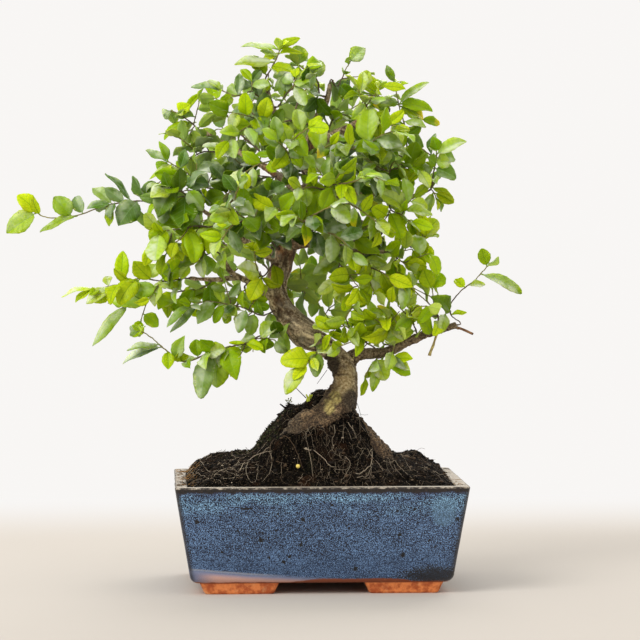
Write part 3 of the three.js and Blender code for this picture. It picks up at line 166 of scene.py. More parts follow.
BRANCHES = {
    "right_main": [
        (20, 0, 152, 4.8), (26, -2, 159, 3.7), (38, -6, 161, 2.8), (50, -9, 163, 2.5),
        (60, -12, 168, 2.4), (71, -14, 173, 2.2), (85, -15, 178, 2), (96, -15, 181, 1.7),
    ],
    "right_twig": [(93, -15, 180, 1.1), (100, -17, 178, 0.8), (107, -20, 175, 0.7)],
    "left_low": [
        (-32, -3, 200, 3), (-43, -10, 208, 2.2), (-54, -15, 214, 2), (-62, -18, 219, 1.8),
        (-66, -20, 227, 1.5),
    ],
    "left_low_side": [(-56, -15, 214, 1.7), (-73, -22, 213, 1.4), (-89, -26, 214, 1.1)],
    "left_cut": [(-29, 0, 225, 2.6), (-49, -18, 238, 1.8), (-71, -28, 253, 1.5), (-88, -34, 267, 1.2)],
    "left_mid": [(-13, 12, 250, 3.4), (-34, 2, 258, 2.7), (-56, -8, 265, 2.2), (-78, -14, 270, 1.5)],
    "left_high": [(-6, 11, 271, 3.4), (-31, 20, 288, 2.6), (-56, 28, 303, 2), (-79, 30, 316, 1.3)],
    "top_left": [
        (-5, 8, 290, 3.2), (-19, -8, 308, 2.5), (-28, -14, 324, 2.1), (-34, -16, 338, 1.7),
        (-36, -16, 349, 1.2),
    ],
    "right_high": [(-4, 6, 303, 3), (12, -10, 314, 2.4), (30, -18, 322, 2), (46, -20, 328, 1.3)],
    "right_mid": [
        (-9, 13, 262, 3.4), (12, -6, 271, 2.8), (35, -18, 273, 2.3), (59, -22, 269, 1.8),
        (73, -22, 273, 1.3),
    ],
    "right_knot": [
        (-11, 14, 253, 3.2), (13, 16, 253, 2.5), (39, 8, 250, 2.1), (58, -4, 243, 1.9),
        (63, -8, 237, 1.3),
    ],
    "right_low": [
        (-22, 2, 235, 3.2), (-6, -8, 238, 2.4), (9, -14, 237, 2), (27, -20, 232, 1.7),
        (45, -22, 232, 1.2),
    ],
}


# A shoot: the wood that it grows on and where, its leaves' size and count, its tone, its stem's corners,
# side stems as (share, corners, leaves), and leaves with chosen places as (share, tip, width, facing).
def spray(name, on, at, size, leaves, tone, radius=0.9, stem=(), side=(), placed=()):
    return {
        "name": name, "on": on, "at": at, "size": size, "leaves": leaves, "tone": tone, "radius": radius,
        "stem": stem, "side": side, "placed": placed,
    }


SPRAYS = [
    spray("left_long", "left_mid", 1, 18, 5, "mature",
        stem=[(-99, -18, 266), (-123, -22, 267), (-146, -24, 264), (-167, -24, 257), (-188, -24, 256),
            (-194, -24, 259)],
        placed=[(1, (-215, -26, 246), 15, 1), (1, (-207, -22, 271), 12, 1),
            (0.76, (-192, -28, 247), 8, 0.5), (0.79, (-182, -22, 270), 13, 1),
            (0.56, (-159, -30, 263), 8, 0.7), (0.55, (-156, -18, 275), 9, 0.7),
            (0.4, (-138, -30, 249), 17, 1), (0.44, (-148, -22, 285), 8, 0.3),
            (0.33, (-115, -20, 281), 13, 0.8)]),
    spray("left_crest", "left_mid", 0.8, 17, 5, "fresh",
        stem=[(-79, -16, 277), (-92, -22, 287), (-104, -26, 294)],
        placed=[(1, (-120, -28, 300), 8, 0.5), (1, (-109, -26, 307), 6, 0.8),
            (0.8, (-116, -30, 287), 8, 0.5)]),
    spray("left_face", "left_cut", 1, 18, 3, "mature",
        stem=[(-93, -38, 272), (-101, -42, 276)],
        placed=[(0.35, (-94, -46, 246), 19, 1), (0.9, (-111, -46, 256), 16, 0.9),
            (1, (-116, -44, 270), 14, 0.8)]),
    spray("left_hollow", "left_cut", 0.72, 19, 5, "fresh",
        stem=[(-84, -36, 250), (-96, -42, 248), (-109, -46, 246)],
        side=[(0.5, [(-97, -50, 240), (-104, -52, 236)], 1)],
        placed=[(0.9, (-114, -50, 236), 16, 0.8)]),
    spray("left_arm", "left_low_side", 1, 17, 3, "young",
        stem=[(-106, -28, 212), (-123, -30, 214), (-142, -30, 209), (-155, -30, 207)],
        placed=[(0.72, (-135, -28, 233), 10, 1), (1, (-177, -30, 201), 6, 0.4),
            (1, (-167, -34, 197), 7, 0.5), (0.82, (-160, -36, 197), 10, 0.8),
            (0.55, (-138, -36, 197), 14, 0.9), (0.3, (-90, -30, 229), 14, 1),
            (0.42, (-112, -26, 225), 13, 0.9), (0.22, (-103, -36, 207), 14, 1),
            (0.2, (-99, -40, 220), 13, 1)]),
    spray("left_arm_low", "left_low_side", 0.55, 17, 3, "fresh",
        stem=[(-81, -12, 207), (-99, -8, 204), (-117, -6, 199), (-131, -6, 196)],
        placed=[(1, (-157, -8, 167), 9, 0.8), (0.8, (-142, -10, 199), 14, 0.8),
            (0.5, (-111, -14, 192), 12, 0.7)]),
    spray("left_thread", "stem", 0.66, 13, 0, "mature", radius=0.8,
        stem=[(-39, -14, 188), (-51, -18, 193), (-64, -20, 196), (-78, -22, 198), (-89, -24, 195)],
        placed=[(0.28, (-48, -20, 175), 10, 1), (0.38, (-56, -20, 177), 9, 0.9),
            (0.62, (-73, -24, 184), 7, 0.8), (0.74, (-84, -24, 183), 11, 1),
            (0.9, (-103, -26, 177), 6, 0.8), (0.97, (-105, -24, 184), 6, 0.7),
            (0.5, (-64, -16, 188), 11, 0.8), (1, (-96, -26, 199), 7, 0.8)]),
    spray("left_skirt", "left_low", 0.45, 16, 3, "fresh",
        stem=[(-51, -6, 205), (-62, 2, 204), (-76, 8, 204)],
        side=[(0.4, [(-54, 6, 197), (-59, 8, 190)], 1)],
        placed=[(1, (-96, 6, 200), 13, 0.8), (0.7, (-78, 4, 194), 12, 0.9)]),
    spray("low_left", "stem", 0.58, 16, 3, "fresh",
        stem=[(-27, -16, 176), (-39, -20, 175), (-48, -22, 170), (-65, -26, 166), (-80, -28, 161),
            (-93, -30, 157), (-106, -32, 165), (-116, -33, 174), (-123, -34, 178)],
        placed=[(0.22, (-44, -26, 156), 16, 1), (0.3, (-39, -20, 166), 8, 0.6),
            (0.36, (-57, -24, 171), 11, 0.9), (0.46, (-71, -30, 139), 19, 1),
            (0.42, (-58, -34, 148), 15, 1), (0.52, (-82, -30, 132), 15, 0.9),
            (0.56, (-66, -30, 167), 11, 0.9), (0.6, (-85, -26, 172), 10, 0.9),
            (0.7, (-96, -34, 164), 11, 0.9), (0.74, (-99, -30, 157), 9, 0.6),
            (0.84, (-136, -34, 159), 8, 0.7), (0.86, (-132, -30, 167), 8, 0.5),
            (1, (-129, -34, 182), 5, 0.8), (1, (-121, -32, 183), 5, 0.8), (0.66, (-111, -30, 154), 6, 0.5)]),
    spray("left_elbow", "left_low", 1, 16, 5, "fresh",
        stem=[(-73, -26, 233), (-84, -30, 236), (-94, -30, 238)],
        side=[(0.5, [(-82, -34, 227), (-89, -36, 223)], 1)]),
    spray("pale_leaf", "stem", 0.88, 16, 1, "mature",
        stem=[(-39, -18, 215), (-44, -28, 225), (-45, -34, 233)],
        placed=[(0.55, (-58, -34, 221), 14, 1), (1, (-52, -34, 238), 9, 0.5)]),
    spray("front_left", "stem", 0.97, 18, 5, "mature", radius=1.3,
        stem=[(-36, -30, 243), (-49, -52, 253), (-59, -74, 259), (-66, -88, 263)],
        side=[(0.4, [(-40, -50, 259), (-35, -60, 267), (-34, -66, 274)], 3),
            (0.62, [(-61, -66, 250), (-68, -74, 241)], 3), (0.8, [(-59, -82, 270), (-56, -88, 278)], 3)]),
    spray("front_low", "stem", 1, 18, 5, "mature", radius=1.3,
        stem=[(-13, -26, 246), (-10, -52, 250), (-14, -76, 253), (-20, -92, 257)],
        side=[(0.38, [(3, -48, 246), (14, -58, 240), (19, -62, 232)], 5),
            (0.6, [(-23, -64, 258), (-32, -74, 262)], 3), (0.8, [(-4, -84, 259), (4, -92, 263)], 3)]),
    spray("front_mid", "leader", 0.42, 18, 5, "fresh", radius=1.3,
        stem=[(-1, -18, 266), (3, -48, 272), (6, -74, 278), (10, -92, 285)],
        side=[(0.4, [(19, -44, 265), (29, -52, 259), (37, -58, 253)], 5),
            (0.62, [(-6, -62, 276), (-16, -74, 275)], 3), (0.8, [(17, -84, 279), (26, -92, 282)], 3)]),
    spray("front_high", "leader", 0.52, 18, 5, "fresh", radius=1.3,
        stem=[(-12, -20, 288), (-20, -48, 296), (-25, -74, 301), (-31, -92, 306)],
        side=[(0.4, [(-3, -44, 300), (6, -54, 305)], 3),
            (0.6, [(-33, -62, 294), (-44, -72, 291), (-52, -76, 286)], 3),
            (0.82, [(-19, -84, 309), (-11, -88, 315)], 3)]),
    spray("crown_tip_left", "top_left", 1, 16, 5, "young",
        stem=[(-34, -16, 356), (-29, -16, 366), (-27, -16, 371)],
        placed=[(1, (-54, -18, 372), 9, 0.5), (0.6, (-58, -18, 363), 11, 0.6),
            (1, (-13, -14, 381), 8, 0.8), (0.9, (-11, -18, 371), 6, 0.5), (0.8, (-39, -22, 367), 9, 0.7)]),
    spray("crown_middle", "leader", 0.93, 16, 5, "fresh",
        stem=[(0, 0, 351), (-7, -4, 357), (-13, -6, 361)],
        placed=[(1, (-15, -8, 375), 13, 1), (0.5, (2, -2, 365), 10, 0.8)]),
    spray("lone_leaf", "leader", 1, 15, 0, "fresh", radius=0.8,
        stem=[(13, 4, 347), (17, 4, 352), (20, 4, 359), (23, 4, 364)],
        placed=[(1, (32, 2, 375), 12, 0.8), (0.2, (24, 0, 343), 14, 0.8), (0.15, (6, -8, 339), 13, 0.8)]),
    spray("crown_back_left", "top_left", 0.78, 16, 3, "mature",
        stem=[(-46, -24, 342), (-57, -28, 339), (-68, -30, 343)],
        placed=[(1, (-88, -30, 346), 7, 0.5), (1, (-76, -28, 350), 7, 0.5), (0.7, (-55, -26, 355), 7, 0.7)]),
    spray("crown_left", "top_left", 0.5, 18, 5, "fresh",
        stem=[(-40, -32, 322), (-51, -42, 325), (-62, -48, 327)],
        side=[(0.5, [(-55, -52, 314), (-63, -56, 307)], 3)]),
    spray("crown_front", "top_left", 0.75, 17, 5, "fresh",
        stem=[(-23, -30, 340), (-15, -38, 347), (-10, -42, 349)]),
    spray("crown_lift", "left_high", 0.5, 17, 5, "fresh",
        stem=[(-54, 34, 316), (-63, 34, 329), (-70, 32, 340)],
        side=[(0.5, [(-49, 40, 332), (-41, 44, 342)], 3)]),
    spray("left_shoulder", "left_high", 0.78, 17, 5, "fresh",
        stem=[(-79, 24, 302), (-90, 16, 296), (-101, 12, 290)],
        side=[(0.5, [(-89, 10, 306), (-96, 6, 311)], 3)]),
    spray("left_high_tip", "left_high", 1, 14, 5, "fresh",
        stem=[(-88, 30, 323), (-97, 30, 329), (-102, 30, 331)],
        placed=[(1, (-107, 30, 326), 8, 0.6), (0.8, (-89, 28, 336), 11, 0.9),
            (0.7, (-81, 30, 344), 5, 0.7), (0.4, (-108, 28, 315), 8, 0.6)]),
    spray("left_inner", "left_high", 0.3, 18, 5, "mature",
        stem=[(-43, 2, 285), (-54, -14, 286), (-66, -26, 281)],
        side=[(0.5, [(-57, -26, 295), (-66, -34, 302)], 3), (0.7, [(-60, -30, 275), (-67, -36, 268)], 3)]),
    spray("right_spire", "right_mid", 0.88, 15, 5, "fresh", radius=0.8,
        stem=[(62, -22, 282), (61, -22, 302), (59, -22, 319), (55, -22, 334), (52, -22, 349)],
        placed=[(0.8, (74, -24, 351), 6, 0.6), (0.8, (78, -26, 332), 11, 0.8),
            (0.78, (74, -20, 326), 9, 0.8), (0.8, (38, -26, 336), 9, 0.7), (0.78, (39, -20, 331), 8, 0.7),
            (0.64, (74, -24, 319), 8, 0.6), (0.5, (72, -26, 306), 10, 0.8), (0.48, (49, -26, 301), 9, 0.8),
            (0.42, (76, -20, 297), 11, 0.8), (0.6, (49, -18, 312), 9, 0.8), (1, (50, -22, 353), 3, 0.8)]),
    spray("right_flag", "right_mid", 1, 14, 0, "fresh",
        stem=[(78, -24, 277), (79, -24, 286), (81, -24, 297), (81, -24, 302)],
        placed=[(0.9, (100, -26, 311), 9, 0.8), (0.62, (95, -24, 283), 12, 0.9),
            (0.72, (90, -26, 295), 12, 0.9), (0.7, (74, -30, 297), 11, 0.9), (0.2, (93, -22, 267), 7, 0.6),
            (0.1, (84, -30, 258), 9, 0.8), (0.15, (67, -26, 261), 10, 0.9),
            (0.35, (69, -20, 284), 10, 0.8), (1, (79, -24, 310), 9, 0.8)]),
    spray("right_heart", "right_high", 1, 15, 5, "young",
        stem=[(44, -18, 337), (40, -18, 342)],
        placed=[(1, (33, -18, 354), 9, 1), (1, (46, -18, 353), 9, 1), (0.7, (23, -16, 351), 6, 0.6)]),
    spray("right_crown", "right_high", 0.72, 17, 5, "young",
        stem=[(33, -28, 328), (29, -32, 338), (26, -34, 343)],
        side=[(0.4, [(44, -38, 320), (52, -42, 318)], 3)]),
    spray("right_face", "right_high", 0.5, 20, 5, "fresh",
        stem=[(22, -32, 307), (32, -42, 303), (43, -46, 302)],
        side=[(0.4, [(22, -50, 302), (15, -60, 304)], 3), (0.7, [(40, -52, 311), (48, -56, 314)], 3)]),
    spray("right_inner", "right_high", 0.3, 17, 5, "fresh",
        stem=[(11, -4, 325), (17, 0, 335), (23, 2, 340)],
        side=[(0.5, [(27, 6, 327), (36, 8, 331)], 3)]),
    spray("right_wing", "right_mid", 0.66, 18, 5, "fresh",
        stem=[(47, -28, 284), (51, -32, 294), (54, -40, 290)],
        side=[(0.5, [(38, -40, 291), (31, -46, 296)], 3)]),
    spray("right_breast", "right_mid", 0.48, 18, 5, "mature",
        stem=[(29, -36, 283), (20, -48, 289), (16, -56, 296)],
        side=[(0.5, [(34, -56, 284), (42, -62, 280)], 3)]),
    spray("right_fall", "right_mid", 0.74, 18, 5, "fresh",
        stem=[(49, -34, 261), (56, -42, 257), (61, -46, 253)],
        side=[(0.4, [(43, -48, 253), (39, -52, 246)], 3)]),
    spray("right_knot_tip", "right_knot", 1, 17, 3, "young",
        stem=[(69, -12, 240), (75, -14, 243)],
        placed=[(0.8, (83, -14, 254), 13, 1), (0.3, (80, -14, 224), 12, 0.9),
            (0.5, (75, -20, 230), 11, 0.9)]),
    spray("right_knot_under", "right_knot", 0.72, 18, 5, "fresh",
        stem=[(47, 2, 240), (41, -4, 232), (33, -8, 225)]),
    spray("right_low_tip", "right_low", 1, 18, 5, "fresh",
        stem=[(53, -28, 228), (61, -32, 222)],
        side=[(0.4, [(53, -36, 218), (57, -40, 210)], 3)]),
    spray("right_skirt", "right_low", 0.8, 20, 5, "young",
        stem=[(35, -28, 222), (34, -34, 213), (37, -38, 205)],
        side=[(0.4, [(45, -42, 216), (50, -46, 209)], 3)]),
    spray("right_curtain", "right_low", 0.55, 18, 5, "fresh",
        stem=[(14, -24, 229), (13, -30, 220), (12, -34, 210)],
        side=[(0.5, [(20, -38, 216), (26, -42, 208)], 3)]),
    spray("right_middle", "right_low", 0.68, 18, 5, "young",
        stem=[(25, -30, 242), (30, -38, 248), (37, -42, 253)]),
    spray("right_long", "right_main", 1, 15, 1, "young", radius=0.7,
        stem=[(93, -16, 187), (91, -17, 193), (98, -18, 204), (108, -18, 212), (117, -18, 222)],
        placed=[(1, (113, -16, 234), 9, 0.9), (0.88, (143, -20, 207), 8, 0.8),
            (0.62, (95, -14, 213), 8, 0.8), (0.68, (115, -22, 210), 6, 0.6),
            (0.22, (103, -18, 189), 5, 0.5), (0.25, (81, -22, 201), 12, 0.9)]),
    spray("right_rise", "right_main", 0.86, 18, 3, "fresh",
        stem=[(83, -20, 186), (79, -26, 196), (78, -28, 206)],
        side=[(0.5, [(69, -32, 202), (63, -34, 207)], 3)],
        placed=[(1, (85, -30, 217), 13, 1), (1, (71, -28, 221), 12, 1)]),
    spray("right_bed", "right_main", 0.68, 18, 5, "young",
        stem=[(66, -20, 181), (60, -26, 189), (54, -30, 195)],
        side=[(0.5, [(66, -34, 194), (73, -38, 195)], 3)]),
    spray("right_bed_inner", "right_main", 0.5, 18, 5, "young",
        stem=[(50, -16, 172), (44, -22, 181), (38, -26, 186)],
        side=[(0.5, [(50, -30, 187), (54, -34, 181)], 3)]),
    spray("right_bed_back", "right_main", 0.42, 17, 5, "fresh",
        stem=[(46, 6, 168), (52, 18, 178), (60, 28, 186)],
        side=[(0.5, [(40, 26, 179), (34, 34, 186)], 3)]),
    spray("right_bed_trunk", "right_main", 0.3, 17, 3, "fresh",
        stem=[(33, -16, 169), (24, -22, 177), (16, -26, 182)],
        side=[(0.4, [(22, -28, 170), (14, -32, 167)], 1), (0.6, [(18, -34, 187), (22, -38, 194)], 3)]),
    spray("right_under", "right_main", 0.36, 15, 0, "fresh", radius=0.7,
        stem=[(40, -12, 157), (47, -14, 156), (54, -16, 157)],
        placed=[(0.7, (64, -18, 148), 11, 0.9), (0.1, (37, -14, 135), 8, 0.8),
            (0.3, (46, -14, 145), 13, 1), (0.05, (32, -10, 143), 9, 0.8), (0.9, (64, -14, 159), 10, 0.8)]),
    spray("trunk_leaves", "stem", 0.42, 15, 0, "young", radius=0.8,
        stem=[(-1, -20, 163), (-5, -26, 159), (-9, -30, 155)],
        placed=[(0.8, (-25, -34, 159), 15, 1), (1, (-24, -34, 135), 12, 1), (0.1, (2, -26, 173), 11, 0.9),
            (0.5, (-3, -32, 148), 11, 1), (0.3, (10, -30, 163), 9, 0.9)]),
    spray("back_high", "leader", 0.6, 18, 5, "fresh", radius=1.3,
        stem=[(2, 34, 304), (10, 62, 314), (15, 88, 324), (19, 102, 330)],
        side=[(0.35, [(22, 52, 310), (34, 64, 316)], 3), (0.55, [(-4, 70, 315), (-13, 82, 322)], 3),
            (0.75, [(27, 92, 333), (36, 98, 339)], 3)]),
    spray("back_top", "leader", 0.78, 17, 5, "fresh", radius=1.2,
        stem=[(-8, 26, 322), (-16, 46, 334), (-22, 62, 343)],
        side=[(0.4, [(-30, 46, 324), (-41, 58, 327)], 3), (0.6, [(-7, 56, 346), (2, 64, 352)], 3)]),
    spray("back_left", "leader", 0.36, 18, 5, "mature", radius=1.3,
        stem=[(-20, 42, 265), (-34, 66, 273), (-47, 86, 279), (-59, 96, 283)],
        side=[(0.35, [(-27, 60, 284), (-30, 70, 296)], 3), (0.5, [(-40, 78, 261), (-49, 88, 254)], 3),
            (0.7, [(-57, 92, 292), (-68, 98, 299)], 3)]),
    spray("back_right", "leader", 0.45, 18, 5, "fresh", radius=1.3,
        stem=[(12, 38, 272), (31, 62, 277), (49, 84, 283), (61, 96, 286)],
        side=[(0.35, [(24, 56, 288), (31, 66, 299)], 3), (0.55, [(41, 74, 266), (52, 84, 260)], 3),
            (0.75, [(56, 90, 296), (66, 96, 304)], 3)]),
    spray("back_low_left", "stem", 0.82, 18, 5, "fresh", radius=1.3,
        stem=[(-34, 30, 220), (-47, 54, 230), (-62, 74, 234), (-75, 86, 237)],
        side=[(0.3, [(-37, 52, 240), (-42, 62, 250)], 3), (0.5, [(-54, 68, 219), (-62, 76, 211)], 3),
            (0.75, [(-74, 84, 245), (-84, 90, 251)], 3)]),
    spray("back_low_right", "leader", 0.2, 18, 5, "fresh", radius=1.3,
        stem=[(2, 34, 237), (21, 56, 234), (38, 76, 231), (51, 88, 229)],
        side=[(0.3, [(12, 52, 224), (18, 62, 214)], 3), (0.5, [(33, 70, 241), (41, 80, 248)], 3),
            (0.75, [(52, 86, 219), (61, 92, 212)], 3)]),
    spray("back_under", "stem", 0.8, 17, 5, "fresh", radius=1.1,
        stem=[(-17, 26, 205), (-5, 50, 205), (7, 68, 203)],
        side=[(0.5, [(3, 56, 194), (10, 64, 185)], 3)]),
]


def unit(vector):
    return vector / np.linalg.norm(vector)


def mix(a, b, share):
    return a + (b - a) * share


def smoothstep(low, high, value):
    share = np.clip((value - low) / (high - low), 0, 1)
    return share * share * (3 - 2 * share)


# A repeatable draw between 0 and 1 from a seed.
def draws_from(seed):
    state = seed % 4294967296
    while True:
        state = (state * 1664525 + 1013904223) % 4294967296
        yield state / 4294967296


# A route: its corner points and radii, with places on its straight legs and on the smooth curve by them.
class Route:
    def __init__(self, points):
        self.points = np.array([point[:3] for point in points], float)
        self.radii = np.array([point[3] for point in points], float)
        legs = self.points[1:] - self.points[:-1]
        self.lengths = np.linalg.norm(legs, axis=1)
        self.units = legs / self.lengths[:, None]
        turns = np.vstack([self.units[:1], self.units[:-1] + self.units[1:], self.units[-1:]])
        self.tangents = turns / np.linalg.norm(turns, axis=1)[:, None]
        self.length = self.lengths.sum()

    # The leg at a share of the whole length, and how far along that leg it is.
    def leg_at(self, share):
        left = share * self.length
        leg = 0
        while leg + 1 < len(self.lengths) and left > self.lengths[leg]:
            left -= self.lengths[leg]
            leg += 1
        return leg, min(left / self.lengths[leg], 1)

    def along(self, share):
        leg, part = self.leg_at(share)
        point = mix(self.points[leg], self.points[leg + 1], part)
        return point, self.units[leg], mix(self.radii[leg], self.radii[leg + 1], part)

    def on_curve(self, leg, part):
        part = np.atleast_1d(part)[:, None]
        start, end = self.points[leg], self.points[leg + 1]
        out, back = self.tangents[leg] * self.lengths[leg], self.tangents[leg + 1] * self.lengths[leg]
        square, cube = part ** 2, part ** 3
        curve = (2 * cube - 3 * square + 1) * start + (3 * square - 2 * cube) * end
        return curve + (cube - 2 * square + part) * out + (cube - square) * back

    def curve_at(self, share):
        return self.on_curve(*self.leg_at(share))[0]

    # Points about a step apart on the smooth curve, with radii and shares of the length.
    def sampled(self, step):
        points, radii, shares = [], [], []
        done = np.concatenate([[0], np.cumsum(self.lengths)]) / self.length
        for leg, length in enumerate(self.lengths):
            count = max(math.ceil(length / step), 1)
            part = np.arange(count + (leg + 1 == len(self.lengths))) / count
            points.append(self.on_curve(leg, part))
            eased = smoothstep(0, 1, part)
            radii.append(mix(self.radii[leg], self.radii[leg + 1], eased))
            shares.append(mix(done[leg], done[leg + 1], part))
        return np.vstack(points), np.concatenate(radii), np.concatenate(shares)


WOOD = {name: Route(route) for name, route in {"stem": STEM, "leader": LEADER, **BRANCHES}.items()}


# The shoot's own route: it starts a small gap off the wood's surface and thins towards its tip.
def stem_route(spray):
    place, direction, radius = WOOD[spray["on"]].along(spray["at"])
    toward = np.array(spray["stem"][0]) - place
    if spray["at"] < 1:
        toward = toward - direction * (toward @ direction)
    else:
        toward = direction
    toward = unit(toward)
    off = (radius if spray["at"] < 1 else 0) + WOOD_GAP
    start = place + toward * off
    points = [start, start + toward * TWIG_COLLAR, *spray["stem"]]
    last = len(points) - 1
    return Route([(*point, mix(spray["radius"], TWIG_TIP, i / last)) for i, point in enumerate(points)])


# A side shoot starts in the main shoot.
def side_route(main, side, radius):
    share, points, _ = side
    points = [main.along(share)[0], *points]
    thick = radius * SIDE_TWIG
    return Route([(*point, mix(thick, SIDE_TWIG_TIP, i / len(points))) for i, point in enumerate(points)])


# A leaf's frame: its root on the shoot, its axis, the way it faces and the way across it.
class Leaf:
    def __init__(self, root, tip, width, facing, seat):
        self.root = root
        self.tip = tip
        self.length = np.linalg.norm(tip - root)
        self.axis = (tip - root) / self.length
        self.width = width
        self.normal = unit(facing - self.axis * (facing @ self.axis))
        self.across = np.cross(self.axis, self.normal)
        self.seat = seat

    # Points all over the leaf with their shares of its length, for the clearance tests.
    def balls(self):
        rows = max(math.ceil(self.length / SAMPLE_STEP), 4)
        share = np.concatenate([np.repeat(np.arange(1, rows) / rows, 5), [1]])
        side = np.concatenate([np.tile([-1, -0.5, 0, 0.5, 1], rows - 1), [0]])
        half = np.zeros(len(share))
        half[:-1] = 0.5 * np.sin(math.pi * share[:-1] ** 0.8) ** 0.8
        return self.surface(share, side * self.width * half), share

    def surface(self, share, offset):
        rise = self.length * LEAF_ARCH * 4 * share * (1 - share) + LEAF_FOLD * np.abs(offset)
        along = np.outer(share * self.length, self.axis)
        return self.root + along + np.outer(offset, self.across) + np.outer(rise, self.normal)


# Everything that a leaf has to keep clear of, as groups of balls.
class Obstacles:
    def __init__(self):
        self.groups = []
        self.middles = np.zeros((4000, 3))
        self.reaches = np.zeros(4000)

    def add(self, owner, kind, points, radii, shares):
        count = len(self.groups)
        middle = points.mean(axis=0)
        self.middles[count] = middle
        self.reaches[count] = (np.linalg.norm(points - middle, axis=1) + radii).max()
        self.groups.append((owner, kind, points, radii, shares))

    def add_route(self, owner, route):
        for leg, length in enumerate(route.lengths):
            steps = max(math.ceil(length / SAMPLE_STEP), 1)
            part = np.arange(steps + 1)[:, None] / steps
            points = mix(route.points[leg], route.points[leg + 1], part)
            radii = mix(route.radii[leg], route.radii[leg + 1], part[:, 0])
            self.add(owner, "wood", points, radii, np.ones(steps + 1))

    # True if a leaf is clear of everything but its own shoot. Sisters may meet at their roots.
    def is_free(self, owner, points, shares, room):
        middle = points.mean(axis=0)
        reach = np.linalg.norm(points - middle, axis=1).max() + max(room.values())
        count = len(self.groups)
        off = np.linalg.norm(self.middles[:count] - middle, axis=1)
        for index in np.nonzero(off <= self.reaches[:count] + reach)[0]:
            other_owner, kind, others, radii, other_shares = self.groups[index]
            sister = other_owner == owner
            if kind == "wood" and sister:
                continue
            clearance = room["wood"] if kind == "wood" else room["sister" if sister else "other"]
            mine = points
            if sister:
                mine = points[shares >= SISTER_ROOT]
                others = others[other_shares >= SISTER_ROOT]
                radii = radii[other_shares >= SISTER_ROOT]
            gaps = np.linalg.norm(mine[:, None] - others[None], axis=2)
            if (gaps < clearance + radii[None]).any():
                return False
        return True

    # Keeps a leaf if it is clear of everything, and remembers it as an obstacle.
    def try_leaf(self, owner, leaf, room):
        points, shares = leaf.balls()
        if not self.is_free(owner, points, shares, room):
            return False
        self.add(owner, "leaf", points, np.zeros(len(points)), shares)
        return True


SKYWARD = unit(np.array([0, -0.2, 1]))
FORWARD = unit(np.array([-0.05, -1, 0.35]))
SOLID_ROOM = {"wood": WOOD_CLEARANCE, "sister": SISTER_CLEARANCE, "other": LEAF_CLEARANCE}


# A leaf with a chosen tip: if it touches something, its tip moves nearer or farther.
def placed_leaf(owner, main, placed, obstacles):
    share, tip, width, facing = placed
    root = main.along(share)[0]
    normal = unit(mix(SKYWARD, FORWARD, facing))
    for attempt in range(LEAF_TRIES):
        step = math.ceil(attempt / 2) * (TIP_STEP if attempt % 2 == 0 else -TIP_STEP)
        leaf = Leaf(root, np.array([tip[0], tip[1] + step, tip[2]], float), width, normal, (main, share))
        if obstacles.try_leaf(owner, leaf, SOLID_ROOM):
            return leaf
    return None


# A leaf by rule: the leaves stand on alternate sides of the shoot, wider off it at each new try, and
# the last one carries the shoot's line on.
def ruled_leaf(owner, route, share, side, spread_span, size, draw, obstacles, room):
    seat, direction, _ = route.along(share)
    for attempt in range(LEAF_TRIES):
        draws = [next(draw) for _ in range(DRAWS_PER_TRY)]
        facing = unit(seat - CROWN_MIDDLE) * FACE_OUT + np.array([0, 0, FACE_UP])
        if room is EXTRA_ROOM:
            facing = facing * EXTRA_OUT + np.array([0, np.clip((seat[1] - EXTRA_FRONT_Y) / 15, -1, 1), 0])
        scatter = EXTRA_SCATTER if room is EXTRA_ROOM else FACE_SCATTER
        facing = unit(facing + (np.array(draws[:3]) - 0.5) * scatter)
        upper = unit(facing - direction * (facing @ direction))
        spread = mix(*spread_span, draws[3]) + SPREAD_STEP * attempt
        axis = direction * math.cos(spread) + np.cross(direction, upper) * side * math.sin(spread)
        axis = axis + upper * mix(*LEAF_LIFT, draws[4]) + np.array([0, 0, -LEAF_DROOP * draws[2]])
        length = size * mix(*LENGTH_SPAN, draws[5]) * (1 - TIP_SHRINK * share * share)
        width = length * mix(*(EXTRA_WIDTH if room is EXTRA_ROOM else WIDTH_SPAN), draws[6])
        leaf = Leaf(seat, seat + unit(axis) * length, width, facing, (route, share))
        if room is not SOLID_ROOM and not inside_crown(leaf):
            continue
        if obstacles.try_leaf(owner, leaf, room):
            return leaf
    return None


# True if a leaf that only the fine model has stays within the solids' box and out of the open places.
def inside_crown(leaf):
    points = (leaf.balls()[0] + FOOTPRINT_SHIFT) * METRES
    if (points < CAD_LOW + EXTRA_MARGIN).any() or (points > CAD_HIGH - EXTRA_MARGIN).any():
        return False
    across, down = on_image(mix(leaf.root, leaf.tip, BLADE_MIDDLE))
    return all(
        math.hypot((across - x) / reach_x, (down - y) / reach_y) > 1 for x, y, reach_x, reach_y in OPEN_PLACES
    )


# The extra leaves of the fine model: how close they come to others, how far apart they stand along
# their shoot, how near its start they begin, how far they turn outward, and their seed.
EXTRA_ROOM = {"wood": 1.1, "sister": 0.9, "other": 1.1}
EXTRA_MARGIN = 0.0004
EXTRA_STEP = 7.5
EXTRA_START = 4
EXTRA_SIZE = 1.12
EXTRA_WIDTH = (0.45, 0.68)
EXTRA_OUT = 0.6
EXTRA_SCATTER = 2
EXTRA_FRONT_Y = 8
EXTRA_SEED = 104729
BLADE_MIDDLE = 0.6

